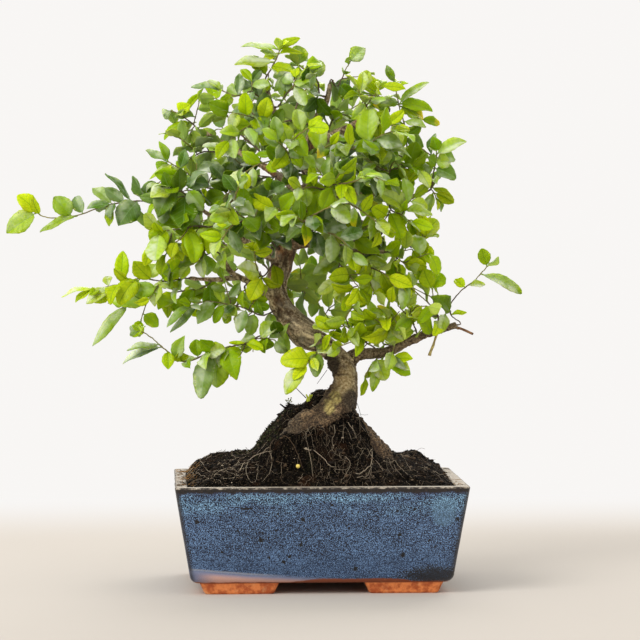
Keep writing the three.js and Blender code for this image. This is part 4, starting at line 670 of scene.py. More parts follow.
# Places of the square image that stay open between the shoots, as (across, down, reach, reach).
OPEN_PLACES = (
    (332, 62, 11, 24), (72, 232, 36, 18), (125, 242, 30, 16), (104, 262, 16, 14), (118, 312, 34, 14),
    (170, 333, 24, 10), (432, 243, 12, 14), (146, 350, 20, 14), (440, 300, 24, 20), (415, 345, 20, 16),
    (246, 262, 14, 12), (252, 398, 30, 12), (358, 366, 10, 14), (396, 262, 16, 9), (204, 256, 10, 9),
    (186, 318, 9, 14), (228, 326, 11, 14), (216, 310, 8, 8), (60, 206, 18, 8), (147, 226, 9, 10),
    (97, 280, 10, 8), (155, 306, 9, 9), (160, 360, 8, 8), (467, 299, 12, 9), (457, 317, 12, 8),
    (476, 272, 30, 22), (376, 301, 11, 8), (353, 76, 8, 14), (165, 120, 8, 14), (168, 150, 10, 10),
    (216, 78, 9, 6), (425, 250, 8, 10), (398, 352, 34, 7), (97, 216, 11, 8), (86, 200, 9, 10),
    (436, 252, 13, 12), (438, 230, 11, 9), (181, 376, 9, 10), (258, 358, 16, 10), (226, 340, 16, 7),
    (149, 146, 10, 10), (147, 170, 9, 12), (164, 150, 8, 16), (248, 330, 12, 9), (232, 70, 10, 9),
    (346, 352, 13, 16), (368, 354, 12, 10), (262, 272, 9, 16), (248, 283, 12, 9), (282, 262, 12, 14),
    (290, 262, 6, 10), (138, 172, 8, 9), (96, 186, 8, 8), (196, 116, 12, 16), (180, 102, 9, 7),
    (146, 315, 7, 9), (202, 330, 9, 7), (272, 352, 9, 8), (240, 362, 8, 14), (354, 104, 11, 8),
    (424, 142, 9, 7), (132, 208, 8, 10),
)

# Places of the square image that a side twig of the nearest shoot fills, as (across, down).
FILLED_PLACES = (
    (190, 134), (212, 175), (300, 266), (314, 276), (350, 292), (334, 305), (256, 300), (412, 198),
    (436, 198), (275, 340), (296, 78), (316, 102), (252, 82), (268, 84), (192, 191), (246, 142),
    (365, 376), (253, 352), (442, 318), (438, 294), (330, 333), (206, 220), (262, 282), (150, 245),
)
FILLED_SPAN = (9, 44)
SEAT_SHARES = (0.15, 1, 0.1)
TWIG_BOW = np.array([0, -1, 1.2])

# Short side twigs that fill the crown: where they leave their shoot, their length, and how many of the
# solids' leaves stand round a leaf on them, so that none leaves the crown's outline.
FILL_SHARES = (0.3, 0.55, 0.8)
FILL_LENGTH = 15
FILL_STEP = 5.5
FILL_RADIUS = 0.6
FILL_UP = 0.2
FILL_ONWARD = 0.55
FILL_NEIGHBOURS = 9
FILL_REACH = 32
FILL_ROOM = 1.2


# Every shoot's routes first, then the leaves with chosen places, then the leaves by rule that the solids
# have too, and at last the extra ones that fill the crown.
def grow_sprays():
    obstacles = Obstacles()
    for route in [*WOOD.values(), *map(Route, [*ROOTS.values(), *SCARS.values()])]:
        obstacles.add_route("trunk", route)
    shoots = []
    for spray in SPRAYS:
        main = stem_route(spray)
        sides = [side_route(main, side, spray["radius"]) for side in spray["side"]]
        for route in [main, *sides]:
            obstacles.add_route(spray["name"], route)
        shoots.append({"spray": spray, "routes": [main, *sides], "leaves": []})
    for shoot in shoots:
        for placed in shoot["spray"]["placed"]:
            shoot["leaves"].append(placed_leaf(shoot["spray"]["name"], shoot["routes"][0], placed, obstacles))
    for number, shoot in enumerate(shoots):
        spray = shoot["spray"]
        draw = draws_from(SPRAY_SEED * (number + 1))
        counts = [spray["leaves"], *[side[2] for side in spray["side"]]]
        for route, count in zip(shoot["routes"], counts):
            first = min(FIRST_LEAF / route.length, LAST_FIRST_SHARE)
            for index in range(0, count, 2):
                share = 1 if count == 1 else mix(first, 1, index / (count - 1))
                side = 1 if (index // 2) % 2 == 0 else -1
                span = END_SPREAD if index == count - 1 else SIDE_SPREAD
                shoot["leaves"].append(ruled_leaf(
                    spray["name"], route, share, side, span, spray["size"], draw, obstacles, SOLID_ROOM
                ))
    solid_leaves = [leaf for shoot in shoots for leaf in shoot["leaves"] if leaf is not None]
    middles = np.array([(leaf.root + leaf.tip) / 2 for leaf in solid_leaves])
    add_placed_twigs(shoots, draws_from(EXTRA_SEED), obstacles)
    for number, shoot in enumerate(shoots):
        add_extra_leaves(shoot, draws_from(EXTRA_SEED * (number + 1)), obstacles)
    for number, shoot in enumerate(shoots):
        add_fill_twigs(shoot, draws_from(EXTRA_SEED * (number + 2) + 1), obstacles, middles)
    for shoot in shoots:
        shoot["leaves"] = [leaf for leaf in shoot["leaves"] if leaf is not None]
    return shoots


# Side twigs in the gaps of the crown, kept where at least one leaf finds room on them.
def add_fill_twigs(shoot, draw, obstacles, middles):
    spray = shoot["spray"]
    owner = spray["name"]
    main = shoot["routes"][0]
    for index, share in enumerate(FILL_SHARES):
        draws = [next(draw) for _ in range(4)]
        seat, direction, radius = main.along(share)
        front = -1 if seat[1] < EXTRA_FRONT_Y else 1
        facing = unit(seat - CROWN_MIDDLE) * EXTRA_OUT + np.array([0, front, FILL_UP])
        upper = unit(facing - direction * (facing @ direction))
        side = 1 if index % 2 else -1
        axis = direction * FILL_ONWARD + np.cross(direction, upper) * side + upper * (draws[0] - 0.5)
        axis = unit(axis + np.array([0, 0, 0.3 * (draws[1] - 0.5)]))
        tip = seat + axis * FILL_LENGTH * mix(0.75, 1.25, draws[2])
        if np.sum(np.linalg.norm(middles - tip, axis=1) < FILL_REACH) < FILL_NEIGHBOURS:
            continue
        knee = mix(seat, tip, 0.5) + upper * 1.2 * (draws[3] - 0.3)
        twig = Route([(*seat, FILL_RADIUS), (*knee, FILL_RADIUS), (*tip, SIDE_TWIG_TIP)])
        path = twig.sampled(2)[0][3:]
        if obstacles.is_free(owner, path, np.ones(len(path)), dict.fromkeys(EXTRA_ROOM, FILL_ROOM)):
            add_twig(shoot, twig, draw, obstacles)


# A side twig, kept where at least one leaf finds room on it.
def add_twig(shoot, twig, draw, obstacles):
    spray = shoot["spray"]
    grown = []
    count = max(round(twig.length / FILL_STEP), 2)
    for step in range(1, count + 1):
        span = END_SPREAD if step == count else SIDE_SPREAD
        grown.append(ruled_leaf(
            spray["name"], twig, step / count, 1 if step % 2 else -1, span, spray["size"] * EXTRA_SIZE, draw,
            obstacles, EXTRA_ROOM,
        ))
    if any(leaf is not None for leaf in grown):
        shoot["routes"].append(twig)
        shoot["leaves"] += grown


# Twigs to the places of the image that stay bare by the other rules.
def add_placed_twigs(shoots, draw, obstacles):
    seats = [
        (shoot, route, share, route.along(share)[0]) for shoot in shoots for route in shoot["routes"]
        for share in np.arange(*SEAT_SHARES)
    ]
    seen = np.array([on_image(seat[3]) for seat in seats])
    for target in FILLED_PLACES:
        far = np.linalg.norm(seen - target, axis=1)
        far[(far < FILLED_SPAN[0]) | (far > FILLED_SPAN[1])] = np.inf
        shoot, route, share, seat = seats[int(np.argmin(far))]
        sight = line_of_sight(target)
        tip = CAMERA_PLACE + sight * (seat[1] - CAMERA_PLACE[1]) / sight[1]
        knee = mix(seat, tip, 0.5) + TWIG_BOW
        twig = Route([(*seat, FILL_RADIUS), (*knee, FILL_RADIUS), (*tip, SIDE_TWIG_TIP)])
        add_twig(shoot, twig, draw, obstacles)


def add_extra_leaves(shoot, draw, obstacles):
    spray = shoot["spray"]
    for route in shoot["routes"]:
        count = max(round((route.length - EXTRA_START) / EXTRA_STEP), 1)
        for index in range(count + 1):
            share = min((EXTRA_START + index * EXTRA_STEP) / route.length, 1)
            span = END_SPREAD if share == 1 else SIDE_SPREAD
            side = 1 if index % 2 else -1
            size = spray["size"] * EXTRA_SIZE
            shoot["leaves"].append(ruled_leaf(
                spray["name"], route, share, side, span, size, draw, obstacles, EXTRA_ROOM
            ))


# Random values on a lattice, repeated in space, for bark, soil and colour.
LATTICE_SIZE = 48
LATTICE = np.random.default_rng(20).random((LATTICE_SIZE,) * 3)


# Smooth random values from -1 to 1, with features of about the given size.
def field(points, size, shift=0):
    place = np.asarray(points, float) / size + 17.31 * shift + 500
    cell = np.floor(place).astype(int)
    part = place - cell
    part = part * part * (3 - 2 * part)
    value = np.zeros(len(place))
    for corner in np.ndindex(2, 2, 2):
        index = (cell + corner) % LATTICE_SIZE
        weight = np.where(corner, part, 1 - part).prod(axis=1)
        value += weight * LATTICE[index[:, 0], index[:, 1], index[:, 2]]
    return 2 * value - 1


# The same at several sizes, each half as large and as strong as the one before.
def layered(points, size, layers, shift=0):
    value = sum(field(points, size / 2 ** i, shift + i) / 2 ** i for i in range(layers))
    return value / (2 - 2 ** (1 - layers))


# Points, faces and values of a piece while it is put together.
class Shape:
    def __init__(self):
        self.points, self.quads, self.triangles, self.layers = [], [], [], {}
        self.count = 0

    def add(self, points, quads, triangles=(), kind=0, flat=0, **layers):
        quads = np.asarray(quads, int).reshape(-1, 4)
        triangles = np.asarray(triangles, int).reshape(-1, 3)
        self.points.append(points)
        self.quads.append((quads + self.count, kind, flat))
        self.triangles.append((triangles + self.count, kind, flat))
        for name, values in layers.items():
            values = np.asarray(values, float)
            if values.ndim < 2 and len(np.atleast_1d(values)) != len(points):
                values = np.full(len(points), float(values))
            self.layers.setdefault(name, []).append(values)
        self.count += len(points)


# A mesh object from a shape, in metres of the shared frame, with its values as attributes.
def make_object(name, shape, materials):
    points = (np.vstack(shape.points) + FOOTPRINT_SHIFT) * METRES
    points = np.clip(points, CAD_LOW, CAD_HIGH)
    faces = [part for part in shape.quads + shape.triangles if len(part[0])]
    corners = np.concatenate([part[0].ravel() for part in faces])
    sizes = np.concatenate([np.full(len(part[0]), part[0].shape[1]) for part in faces])
    kinds = np.concatenate([np.full(len(part[0]), part[1]) for part in faces])
    smooth = np.concatenate([np.full(len(part[0]), not part[2]) for part in faces])
    mesh = bpy.data.meshes.new(name)
    mesh.vertices.add(len(points))
    mesh.vertices.foreach_set("co", points.ravel())
    mesh.loops.add(len(corners))
    mesh.loops.foreach_set("vertex_index", corners)
    mesh.polygons.add(len(sizes))
    mesh.polygons.foreach_set("loop_start", np.cumsum(sizes) - sizes)
    mesh.polygons.foreach_set("material_index", kinds)
    mesh.polygons.foreach_set("use_smooth", smooth)
    mesh.update(calc_edges=True)
    for layer, parts in shape.layers.items():
        values = np.concatenate(parts)
        if values.ndim == 1:
            mesh.attributes.new(layer, "FLOAT", "POINT").data.foreach_set("value", values)
        else:
            mesh.attributes.new(layer, "FLOAT_VECTOR", "POINT").data.foreach_set("vector", values.ravel())
    for material in materials:
        mesh.materials.append(material)
    made = bpy.data.objects.new(name, mesh)
    bpy.context.scene.collection.objects.link(made)
    return made


# A shown piece of the part: it rides on its body, stands for its node and has the finishes it is given.
def add_piece(name, shape, materials, node):
    made = make_object(name, shape, materials)
    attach(made, "root")
    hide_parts(node)
    return made


# A round tube along a curve, closed at both ends. shape scales the radius by ring and angle.
def tube(centres, radii, sides, shape=None):
    ahead = np.gradient(centres, axis=0)
    ahead /= np.linalg.norm(ahead, axis=1)[:, None]
    normal = np.array([1.0, 0, 0]) if abs(ahead[0][1]) > 0.8 else np.array([0, -1.0, 0])
    normals = np.zeros_like(centres)
    for i, direction in enumerate(ahead):
        normal = unit(normal - direction * (normal @ direction))
        normals[i] = normal
    across = np.cross(ahead, normals)
    angles = 2 * math.pi * np.arange(sides) / sides
    reach = np.repeat(radii[:, None], sides, axis=1)
    if shape is not None:
        reach = reach * shape(np.arange(len(centres))[:, None], angles[None])
    ring = normals[:, None] * np.cos(angles)[None, :, None] + across[:, None] * np.sin(angles)[None, :, None]
    points = (centres[:, None] + ring * reach[..., None]).reshape(-1, 3)
    low = np.arange((len(centres) - 1) * sides).reshape(-1, sides)
    quads = np.stack([low, np.roll(low, -1, axis=1), np.roll(low, -1, axis=1) + sides, low + sides], axis=-1)
    around = np.arange(sides)
    first = np.stack([np.full(sides, len(points)), np.roll(around, -1), around], axis=-1)
    top = (len(centres) - 1) * sides
    last = np.stack([np.full(sides, len(points) + 1), top + around, top + np.roll(around, -1)], axis=-1)
    points = np.vstack([points, centres[:1], centres[-1:]])
    return points, quads.reshape(-1, 4), np.vstack([first, last])


# Values given per ring of a tube, repeated for each of its points.
def per_ring(values, sides):
    return np.concatenate([np.repeat(values, sides, axis=0), values[:1], values[-1:]])


# Height of the soil: level at the rim, domed in the middle and heaped round the roots.
def soil_height(x, y):
    half_x = RIM_WIDTH / 2 - WALL
    half_y = RIM_DEPTH / 2 - WALL
    edge_x = np.minimum(np.abs(x) / half_x, 1)
    edge_y = np.minimum(np.abs(y) / half_y, 1)
    dome = SOIL_DOME * (1 - edge_x ** 4) * (1 - edge_y ** 2.4)
    corner = SOIL_CORNER_DROP * edge_x ** 6 * edge_y ** 4
    reach_x = np.where(x < MOUND_X, MOUND_LEFT, MOUND_RIGHT)
    reach_y = np.where(y < MOUND_Y, MOUND_FRONT, MOUND_BACK)
    away = np.hypot((x - MOUND_X) / reach_x, (y - MOUND_Y) / reach_y)
    mound = MOUND_PEAK * np.maximum(1 - away ** 2, 0) ** MOUND_SHOULDER
    lumps = SOIL_LUMPS * np.sin(0.31 * x + 0.17 * y) * np.cos(0.27 * y) * (1 - edge_x ** 4)
    return SOIL_EDGE + dome - corner + mound + lumps


# Fine leaves: a stalk, then a blade with toothed edges, raised fields between its veins and a curl.
LEAF_COLUMNS = np.array([-1, -0.6, -0.14, 0, 0.14, 0.6, 1])
LEAF_ROWS = ((12, 10), (17, 12), (99, 16))
ROW_ROUNDING = 0.6
STALK_SHARE = 0.09
STALK_HALF = 0.42
TIP_HALF = 0.1
BLADE_THICK = 0.15
STALK_THICK = 0.35
TOOTH = 0.03
BASE_ROUND_POWER = 0.5
TIP_POWERS = (0.45, 0.95)
BELLY_POWERS = (0.8, 1.08)
FOLDS = (0.6, 3.2)
WAVE = 0.1
CURL = 0.24
TWIST = 0.36
VEIN_PAIRS = 5.5
VEIN_SLANT = 0.85
VEIN_PUFF = 0.14
MIDRIB_SINK = 0.2
LEAF_SEED = 31


# Half the blade's width at a share of its length, as a share of its full width. A low tip power gives a
# round tip, and a belly power over 1 puts the widest place beyond the middle.
def blade_half(share, tip_power, belly_power):
    share = np.clip(share, 0, 1)
    return 0.5 * np.sin(math.pi * share ** belly_power) ** mix(BASE_ROUND_POWER, tip_power, share)


# The rows and columns of a leaf with that many rows, and its faces: upper, lower and round the edge.
@functools.lru_cache
def leaf_grid(rows):
    even = np.linspace(0, 1, rows - 1)
    blade = mix(even, 0.5 - 0.5 * np.cos(math.pi * even), ROW_ROUNDING)
    share = np.concatenate([[0, STALK_SHARE * 0.5], STALK_SHARE + (1 - STALK_SHARE) * blade])
    columns = len(LEAF_COLUMNS)
    low = np.arange(rows * columns).reshape(rows, columns)[:, :-1]
    upper = np.stack([low, low + 1, low + columns + 1, low + columns], axis=-1).reshape(-1, 4)
    size = (rows + 1) * columns
    lower = upper[:, ::-1] + size
    start = np.arange(rows) * columns
    end = start + columns - 1
    left = np.stack([start, start + columns, start + columns + size, start + size], axis=-1)
    right = np.stack([end + columns, end, end + size, end + columns + size], axis=-1)
    base = np.arange(columns - 1)
    tip = base + rows * columns
    first = np.stack([base + 1, base, base + size, base + 1 + size], axis=-1)
    last = np.stack([tip, tip + 1, tip + 1 + size, tip + size], axis=-1)
    return share, np.vstack([upper, lower]), np.vstack([left, right, first, last])


def leaf_rows(length):
    return next(rows for longest, rows in LEAF_ROWS if length < longest)


# One leaf. rng gives its own curl, waves and sway.
def add_leaf(shape, leaf, colours, rng):
    share, faces, edges = leaf_grid(leaf_rows(leaf.length))
    route, seat_share = leaf.seat
    root = route.curve_at(seat_share)
    blade = np.clip((share - STALK_SHARE) / (1 - STALK_SHARE), 0, 1)
    teeth = np.where(np.arange(len(share)) % 2 == 0, -TOOTH, TOOTH) * (blade > 0.05) * (blade < 0.97)
    shape_powers = mix(TIP_POWERS[0], TIP_POWERS[1], rng.random()), mix(*BELLY_POWERS, rng.random())
    half = np.maximum(blade_half(blade, *shape_powers) * leaf.width, mix(STALK_HALF, TIP_HALF, blade))
    edge = np.abs(LEAF_COLUMNS) == 1
    offset = LEAF_COLUMNS[None] * half[:, None] * (1 + teeth[:, None] * edge[None])
    along = (share[:, None] + edge[None] * np.abs(teeth[:, None]) * 0.25) * np.ones_like(offset)
    curl, twist, sway, phase = rng.uniform(-1, 1, 4)
    away = np.abs(offset)
    bend = leaf.length * (LEAF_ARCH * 4 * along * (1 - along) - CURL * (curl + 0.4) * along ** 3)
    fold = LEAF_FOLD * mix(*FOLDS, rng.random()) * (np.sqrt(away ** 2 + 0.25) - 0.5)
    wave = WAVE * leaf.width * (away / (half[:, None] + 0.01)) ** 2 * np.sin(9 * along + 3 * phase)
    turn = TWIST * twist * offset * along
    vein = VEIN_PAIRS * (blade[:, None] - VEIN_SLANT * away / leaf.length)
    inner = np.clip(4 * (away / (half[:, None] + 0.01)) * (1.05 - away / (half[:, None] + 0.01)), 0, 1)
    puff = VEIN_PUFF * (0.5 - 0.5 * np.cos(2 * math.pi * vein)) * inner * (half[:, None] > 1.5)
    groove = -MIDRIB_SINK * np.exp(-(away / 0.5) ** 2) * (half[:, None] > 1)
    rise = bend + fold + wave + turn + puff + groove
    side = offset + 0.05 * sway * leaf.length * np.sin(math.pi * along)
    axis, length = leaf.tip - root, np.linalg.norm(leaf.tip - root)
    axis = axis / length
    normal = unit(leaf.normal - axis * (leaf.normal @ axis))
    across = np.cross(axis, normal)
    middle = root + (along * length)[..., None] * axis + side[..., None] * across + rise[..., None] * normal
    thick = mix(STALK_THICK, BLADE_THICK, smoothstep(0, 0.06, blade))[:, None] * np.where(edge, 0.5, 1)
    upper = middle + thick[..., None] * normal
    lower = middle - thick[..., None] * normal
    points = np.concatenate([upper.reshape(-1, 3), lower.reshape(-1, 3)])
    place = np.stack([offset / 10, vein / 10, blade[:, None] * np.ones_like(vein)], axis=-1).reshape(-1, 3)
    count = len(place)
    layers = {
        "leaf_place": np.vstack([place, place]),
        "leaf_under": np.repeat([0.0, 1.0], count),
        "leaf_colour": np.tile(colours[0], (2 * count, 1)),
        "leaf_vein": np.tile(colours[1], (2 * count, 1)),
        "leaf_wither": np.full(2 * count, colours[2]),
        "leaf_sheen": np.full(2 * count, colours[3]),
    }
    shape.add(points, faces, **layers)
    shape.quads.append((edges + shape.count - len(points), 0, 1))


# Colours as a viewer sees them, from 0 to 255, turned into light.
def light(*rgb):
    value = np.array(rgb) / 255
    return np.where(value <= 0.04045, value / 12.92, ((value + 0.055) / 1.055) ** 2.4)


def shade(*rgb):
    return tuple(light(*rgb))


LEAF_TONES = {"young": 0.2, "fresh": 0.48, "mature": 0.78}
LEAF_SCALE = [light(172, 192, 20), light(148, 174, 6), light(114, 146, 3), light(60, 92, 4)]
VEIN_SCALE = [light(120, 148, 6), light(100, 130, 8), light(124, 152, 48), light(98, 130, 66)]
WITHER_SHARE = 0.012
# Painted sheen: the share of leaves that get it and the side that the light comes from.
PAINTED_SHEEN_SHARE = 0.66
PAINTED_SHEEN_SIDE = np.array([-0.35, -0.55, 0.75])

# Shoots whose outermost leaves are the youngest.
TIP_YOUTH = {"left_long": 0.95, "right_long": -0.4, "pale_leaf": 1.2}
AGE_SHIFT = {"left_arm": 0.2, "left_arm_low": 0.1, "low_left": 0.12, "right_long": 0.25, "pale_leaf": -1.1}

# The crown's half sizes: leaves deep in it are older, and painted shade darkens them.
CROWN_REACH = (100, 56, 82)
# Painted shade: the brightness of leaves deep in the crown and of those at its outside.
CROWN_SHADE = 0.24
CROWN_LIGHT = 1.04
HIGH_AGE = 0.22
HIGH_SPAN = (235, 320)
DEEP_AGE = 0.42
AGE_SPREAD = 0.24
BRIGHT_SPAN = (0.72, 1.3)
WITHER_SPAN = (0.6, 1)
# Strength of the painted sheen.
PAINTED_SHEEN_SPAN = (0.4, 1.3)

# The shoot and the place on it of the one pale round leaf in front of the stem.
PALE_LEAF = ("pale_leaf", 0.55)
# Its brightness and painted sheen: with its youth, the full painted sheen makes it pale.
PALE_LOOK = (1.1, 1.0)


def on_scale(scale, share):
    place = np.clip(share, 0, 1) * (len(scale) - 1)
    index = min(int(place), len(scale) - 2)
    return mix(scale[index], scale[index + 1], place - index)


# A leaf's colours: greener with age and deep in the crown, younger at a shoot's tip, with painted shade and
# sheen.
def leaf_colours(spray, leaf, rng):
    middle = (leaf.root + leaf.tip) / 2
    outer = smoothstep(0.4, 1, np.linalg.norm((middle - CROWN_MIDDLE) / CROWN_REACH))
    age = LEAF_TONES[spray["tone"]] + rng.normal(0, AGE_SPREAD) + DEEP_AGE * (1 - outer)
    age += HIGH_AGE * smoothstep(*HIGH_SPAN, middle[2]) - 0.07
    age -= 0.14 * leaf.seat[1] - 0.02
    age += 0.012 * (leaf.length - 14) + AGE_SHIFT.get(spray["name"], 0)
    age -= TIP_YOUTH.get(spray["name"], 0) * smoothstep(0.72, 0.95, leaf.seat[1])
    # Painted shade: leaves deep in the crown are darker, those at its outside a little lighter.
    bright = rng.uniform(*BRIGHT_SPAN) * mix(CROWN_SHADE, CROWN_LIGHT, outer)
    wither = rng.uniform(*WITHER_SPAN) if rng.random() < WITHER_SHARE else 0
    # Painted sheen: a whitish tint on leaves that face the light's side.
    lit = np.clip(leaf.normal @ PAINTED_SHEEN_SIDE, 0, 1)
    sheen = rng.uniform(*PAINTED_SHEEN_SPAN) * lit if rng.random() < PAINTED_SHEEN_SHARE * (0.35 + age) else 0
    if (spray["name"], leaf.seat[1]) == PALE_LEAF:
        bright, sheen = PALE_LOOK
    bright *= mix(0.92, 1, np.clip(age * 2, 0, 1))
    return on_scale(LEAF_SCALE, age) * bright, on_scale(VEIN_SCALE, age) * bright, wither, sheen


# Fine stems: round, swollen a little where leaves sit, and rooted in the wood that they grow from.
TWIG_SIDES = 6
TWIG_STEP = 1.8
TWIG_SLIM = 0.68
NODE_SWELL = 0.35
NODE_REACH = 0.9
TWIG_ROUGH = 0.06
TWIG_SWAY = 0.12


def add_stem(shape, route, seats, age_span, rooted_at, kind, rng):
    centres, radii, shares = route.sampled(TWIG_STEP)
    nodes = (np.exp(-((shares - seat) * route.length / NODE_REACH) ** 2) for seat in seats)
    swell = 1 + NODE_SWELL * np.minimum(sum(nodes, np.zeros(len(shares))), 1)
    radii = radii * TWIG_SLIM * swell * (1 + TWIG_ROUGH * rng.normal(size=len(radii)))
    loose = (shares > 0)[:, None] * (shares < 1)[:, None]
    centres = centres + TWIG_SWAY * rng.normal(size=centres.shape) * loose
    if rooted_at is not None:
        centres = np.vstack([rooted_at, centres])
        radii = np.concatenate([[radii[0] * 1.7], radii])
        radii[1] *= 1.5
        shares = np.concatenate([[0], shares])
    points, quads, ends = tube(centres, radii, TWIG_SIDES)
    age = per_ring(mix(age_span[0], age_span[1], shares), TWIG_SIDES)
    blank = np.zeros((len(points), 3))
    shape.add(
        points, quads, ends, kind, leaf_place=blank, leaf_under=0, leaf_colour=blank, leaf_vein=blank,
        leaf_wither=age, leaf_sheen=0,
    )


# One shoot: its stems and all its leaves, as the piece that stands for its solid.
def make_shoot(grown, materials):
    spray = grown["spray"]
    rng = np.random.default_rng([LEAF_SEED, len(spray["name"]), int(spray["stem"][0][0] * 7 + 9000)])
    shape = Shape()
    for number, route in enumerate(grown["routes"]):
        seats = [leaf.seat[1] for leaf in grown["leaves"] if leaf.seat[0] is route]
        root = WOOD[spray["on"]].along(spray["at"])[0] if number == 0 else None
        span = (0, 1) if number == 0 else (0.4, 1)
        add_stem(shape, route, seats, span, root, 1, rng)
    for leaf in grown["leaves"]:
        add_leaf(shape, leaf, leaf_colours(spray, leaf, rng), rng)
    name = spray["name"]
    return add_piece(f"shoot_{name}", shape, materials, f"spray_{name}")


# Fine wood: the limbs are joined by a voxel remesh, smoothed and then given their bark.
LIMB_STEP = 1.5
LIMB_SIDES = 20
VOXEL = 0.68
BARK_DEPTH = 0.55
FISSURE_DEPTH = 0.75
BARK_REACH = 9
BRANCH_SIDES = 12
BRANCH_TONE = 0.3
DARK_BRANCHES = {
    "right_main": 0.75, "right_mid": 0.55, "right_knot": 0.6, "right_low": 0.5, "right_twig": 0.3,
}
BRANCH_STEP = 1.1
BRANCH_GIRTH = {"right_main": 1.28, "right_low": 1.15}

# A bare green stalk that hangs under the right branch, from the place where it leaves.
HANGING_FROM = 0.84
HANGING_BENDS = [(0, 0, 0, 0.8), (-1.5, -1, -5, 0.7), (-3.5, -1.6, -11, 0.75), (-6, -2, -17.5, 1)]

# A dark crack across the stem's front where the fork begins.
RING_HEIGHT = 146.5
RING_MIDDLE = 16.5
RING_HALF = 5.5

# Spots of the bark, as (middle, reach, wobble): the smooth pale neck, yellow algae, the dead snag and
# the rough burr.
PALE_SPOT = ((18, -8, 142), (8, 9, 13))
ALGAE_SPOTS = (((11.5, -12, 130), (4.5, 12, 5.5)), ((7, -19, 123.5), (4.8, 12, 6.5)))
SNAG_SPOT = ((9, -9, 153.5), (7.2, 9, 10.5), 0.2)
BURR_SPOT = ((23, -11, 125.5), (7.5, 9, 12), 0.25)

# Heights between which the root base turns lumpy, soiled and mossy.
LUMPY_SPAN = (134, 122)
SOILED_SPAN = (122, 114)
DUSTY_SPAN = (126, 108)
MOSSY_SPAN = (126, 118)

# Roots, burr and snag as they show in front, in more strands than the solid's core.
FINE_LIMBS = {
    "buttress_left": [
        (17, 0, 134, 8), (12.5, -6, 130, 7.5), (8.2, -12, 124.4, 8.2), (1.5, -19, 118, 8.4),
        (-9.5, -22, 113.5, 8), (-19, -25, 106, 6.8), (-26, -27, 101, 4),
    ],
    "buttress_low": [
        (18, -4, 127, 7.5), (12, -17, 120.5, 7.5), (5, -25, 114.3, 7.6), (-6, -28, 110, 7.2),
        (-15.5, -29, 102.8, 6.4), (-23, -30, 98, 4),
    ],
    "root_right": [
        (21, 0, 124, 5.5), (22.5, -6, 116, 6), (28, -11, 106.5, 7.8), (35, -15, 98.5, 8.5), (41, -19, 91, 9),
        (44, -23, 81.5, 9), (43, -25, 72, 6),
    ],
    "root_back_right": [(20, 2, 124, 6), (28, 20, 107, 5.5), (37, 35, 89, 5), (40, 43, 72, 3)],
    "burr": [(20, -5, 136, 3), (20.4, -8.5, 131.5, 4.6), (20.4, -10, 125.5, 5), (20, -9.5, 119, 4.4)],
    "snag": [(14.5, -3, 163, 4.2), (10.8, -7, 157, 3.8), (10.6, -8.5, 150.5, 3), (11.6, -8.5, 146, 1.4)],
}


def limb_shape(seed):
    rng = np.random.default_rng(seed)
    turns = rng.uniform(0, 2 * math.pi, 3)

    def shape(ring, angle):
        waves = np.cos(2 * angle + turns[0] + 0.11 * ring) + 0.7 * np.cos(3 * angle + turns[1] - 0.17 * ring)
        return 1 + 0.05 * waves + 0.03 * np.cos(5 * angle + turns[2] + 0.05 * ring)

    return shape


# A temporary mesh of all the thick limbs, remeshed to one skin. Gives its points and faces.
def joined_limbs(routes):
    shape = Shape()
    for seed, route in enumerate(routes):
        centres, radii, _ = route.sampled(LIMB_STEP)
        points, quads, ends = tube(centres, radii, LIMB_SIDES, limb_shape(seed))
        shape.add(points, quads, ends)
    made = make_object("limbs", shape, [])
    remesh = made.modifiers.new("skin", "REMESH")
    remesh.mode = "VOXEL"
    remesh.voxel_size = VOXEL * METRES
    smooth = made.modifiers.new("soften", "SMOOTH")
    smooth.factor = 0.5
    smooth.iterations = 5
    ready = made.evaluated_get(bpy.context.evaluated_depsgraph_get()).to_mesh()
    points = np.zeros(len(ready.vertices) * 3)
    ready.vertices.foreach_get("co", points)
    normals = np.zeros(len(ready.vertices) * 3)
    ready.vertices.foreach_get("normal", normals)
    quads = np.zeros(len(ready.polygons) * 4, int)
    ready.polygons.foreach_get("vertices", quads)
    mesh = made.data
    bpy.data.objects.remove(made)
    bpy.data.meshes.remove(mesh)
    return points.reshape(-1, 3) / METRES - FOOTPRINT_SHIFT, normals.reshape(-1, 3), quads.reshape(-1, 4)


# Places on the limbs, unrolled: round a limb, along it, and how near its surface each point is.
def unrolled(points, route):
    centres, radii, shares = route.sampled(2)
    ahead = np.gradient(centres, axis=0)
    ahead /= np.linalg.norm(ahead, axis=1)[:, None]
    nearest = np.zeros(len(points), int)
    least = np.full(len(points), 1e9)
    for i, (centre, radius) in enumerate(zip(centres, radii)):
        gap = np.linalg.norm(points - centre, axis=1) - radius
        closer = gap < least
        nearest[closer] = i
        least[closer] = gap[closer]
    out = points - centres[nearest]
    direction = ahead[nearest]
    on_axis = (out * direction).sum(axis=1)
    out = out - direction * on_axis[:, None]
    along = shares[nearest] * route.length + on_axis
    return out, along, least


# Bark in the directions of the limbs: long fissures with flaky fields between them.
def bark_values(points, routes):
    total = np.zeros((len(points), 2))
    weights = np.zeros(len(points))
    for number, route in enumerate(routes):
        out, along, gap = unrolled(points, route)
        near = gap < BARK_REACH
        weight = np.exp(-np.maximum(gap, 0) / 1.2) * near + 1e-9
        place = out + np.outer(along * 0.32, [0.3, 0.5, 0.81])
        crack = 1 - np.abs(layered(place, 3.4, 2, shift=number)) * 2.6
        flake = layered(out + np.outer(along * 0.55, [0.5, 0.3, 0.81]), 2.2, 3, shift=30 + number)
        total += weight[:, None] * np.stack([np.clip(crack, 0, 1), flake], axis=1)
        weights += weight
    return (total / weights[:, None]).T


# Soft spots on the wood, as 1 in the middle and 0 outside.
def spot(points, centre, radius, wobble=0.35, shift=50):
    reach = np.linalg.norm((points - np.array(centre)) / np.array(radius), axis=1)
    return 1 - smoothstep(0.6, 1.15, reach + wobble * layered(points, 4, 2, shift))


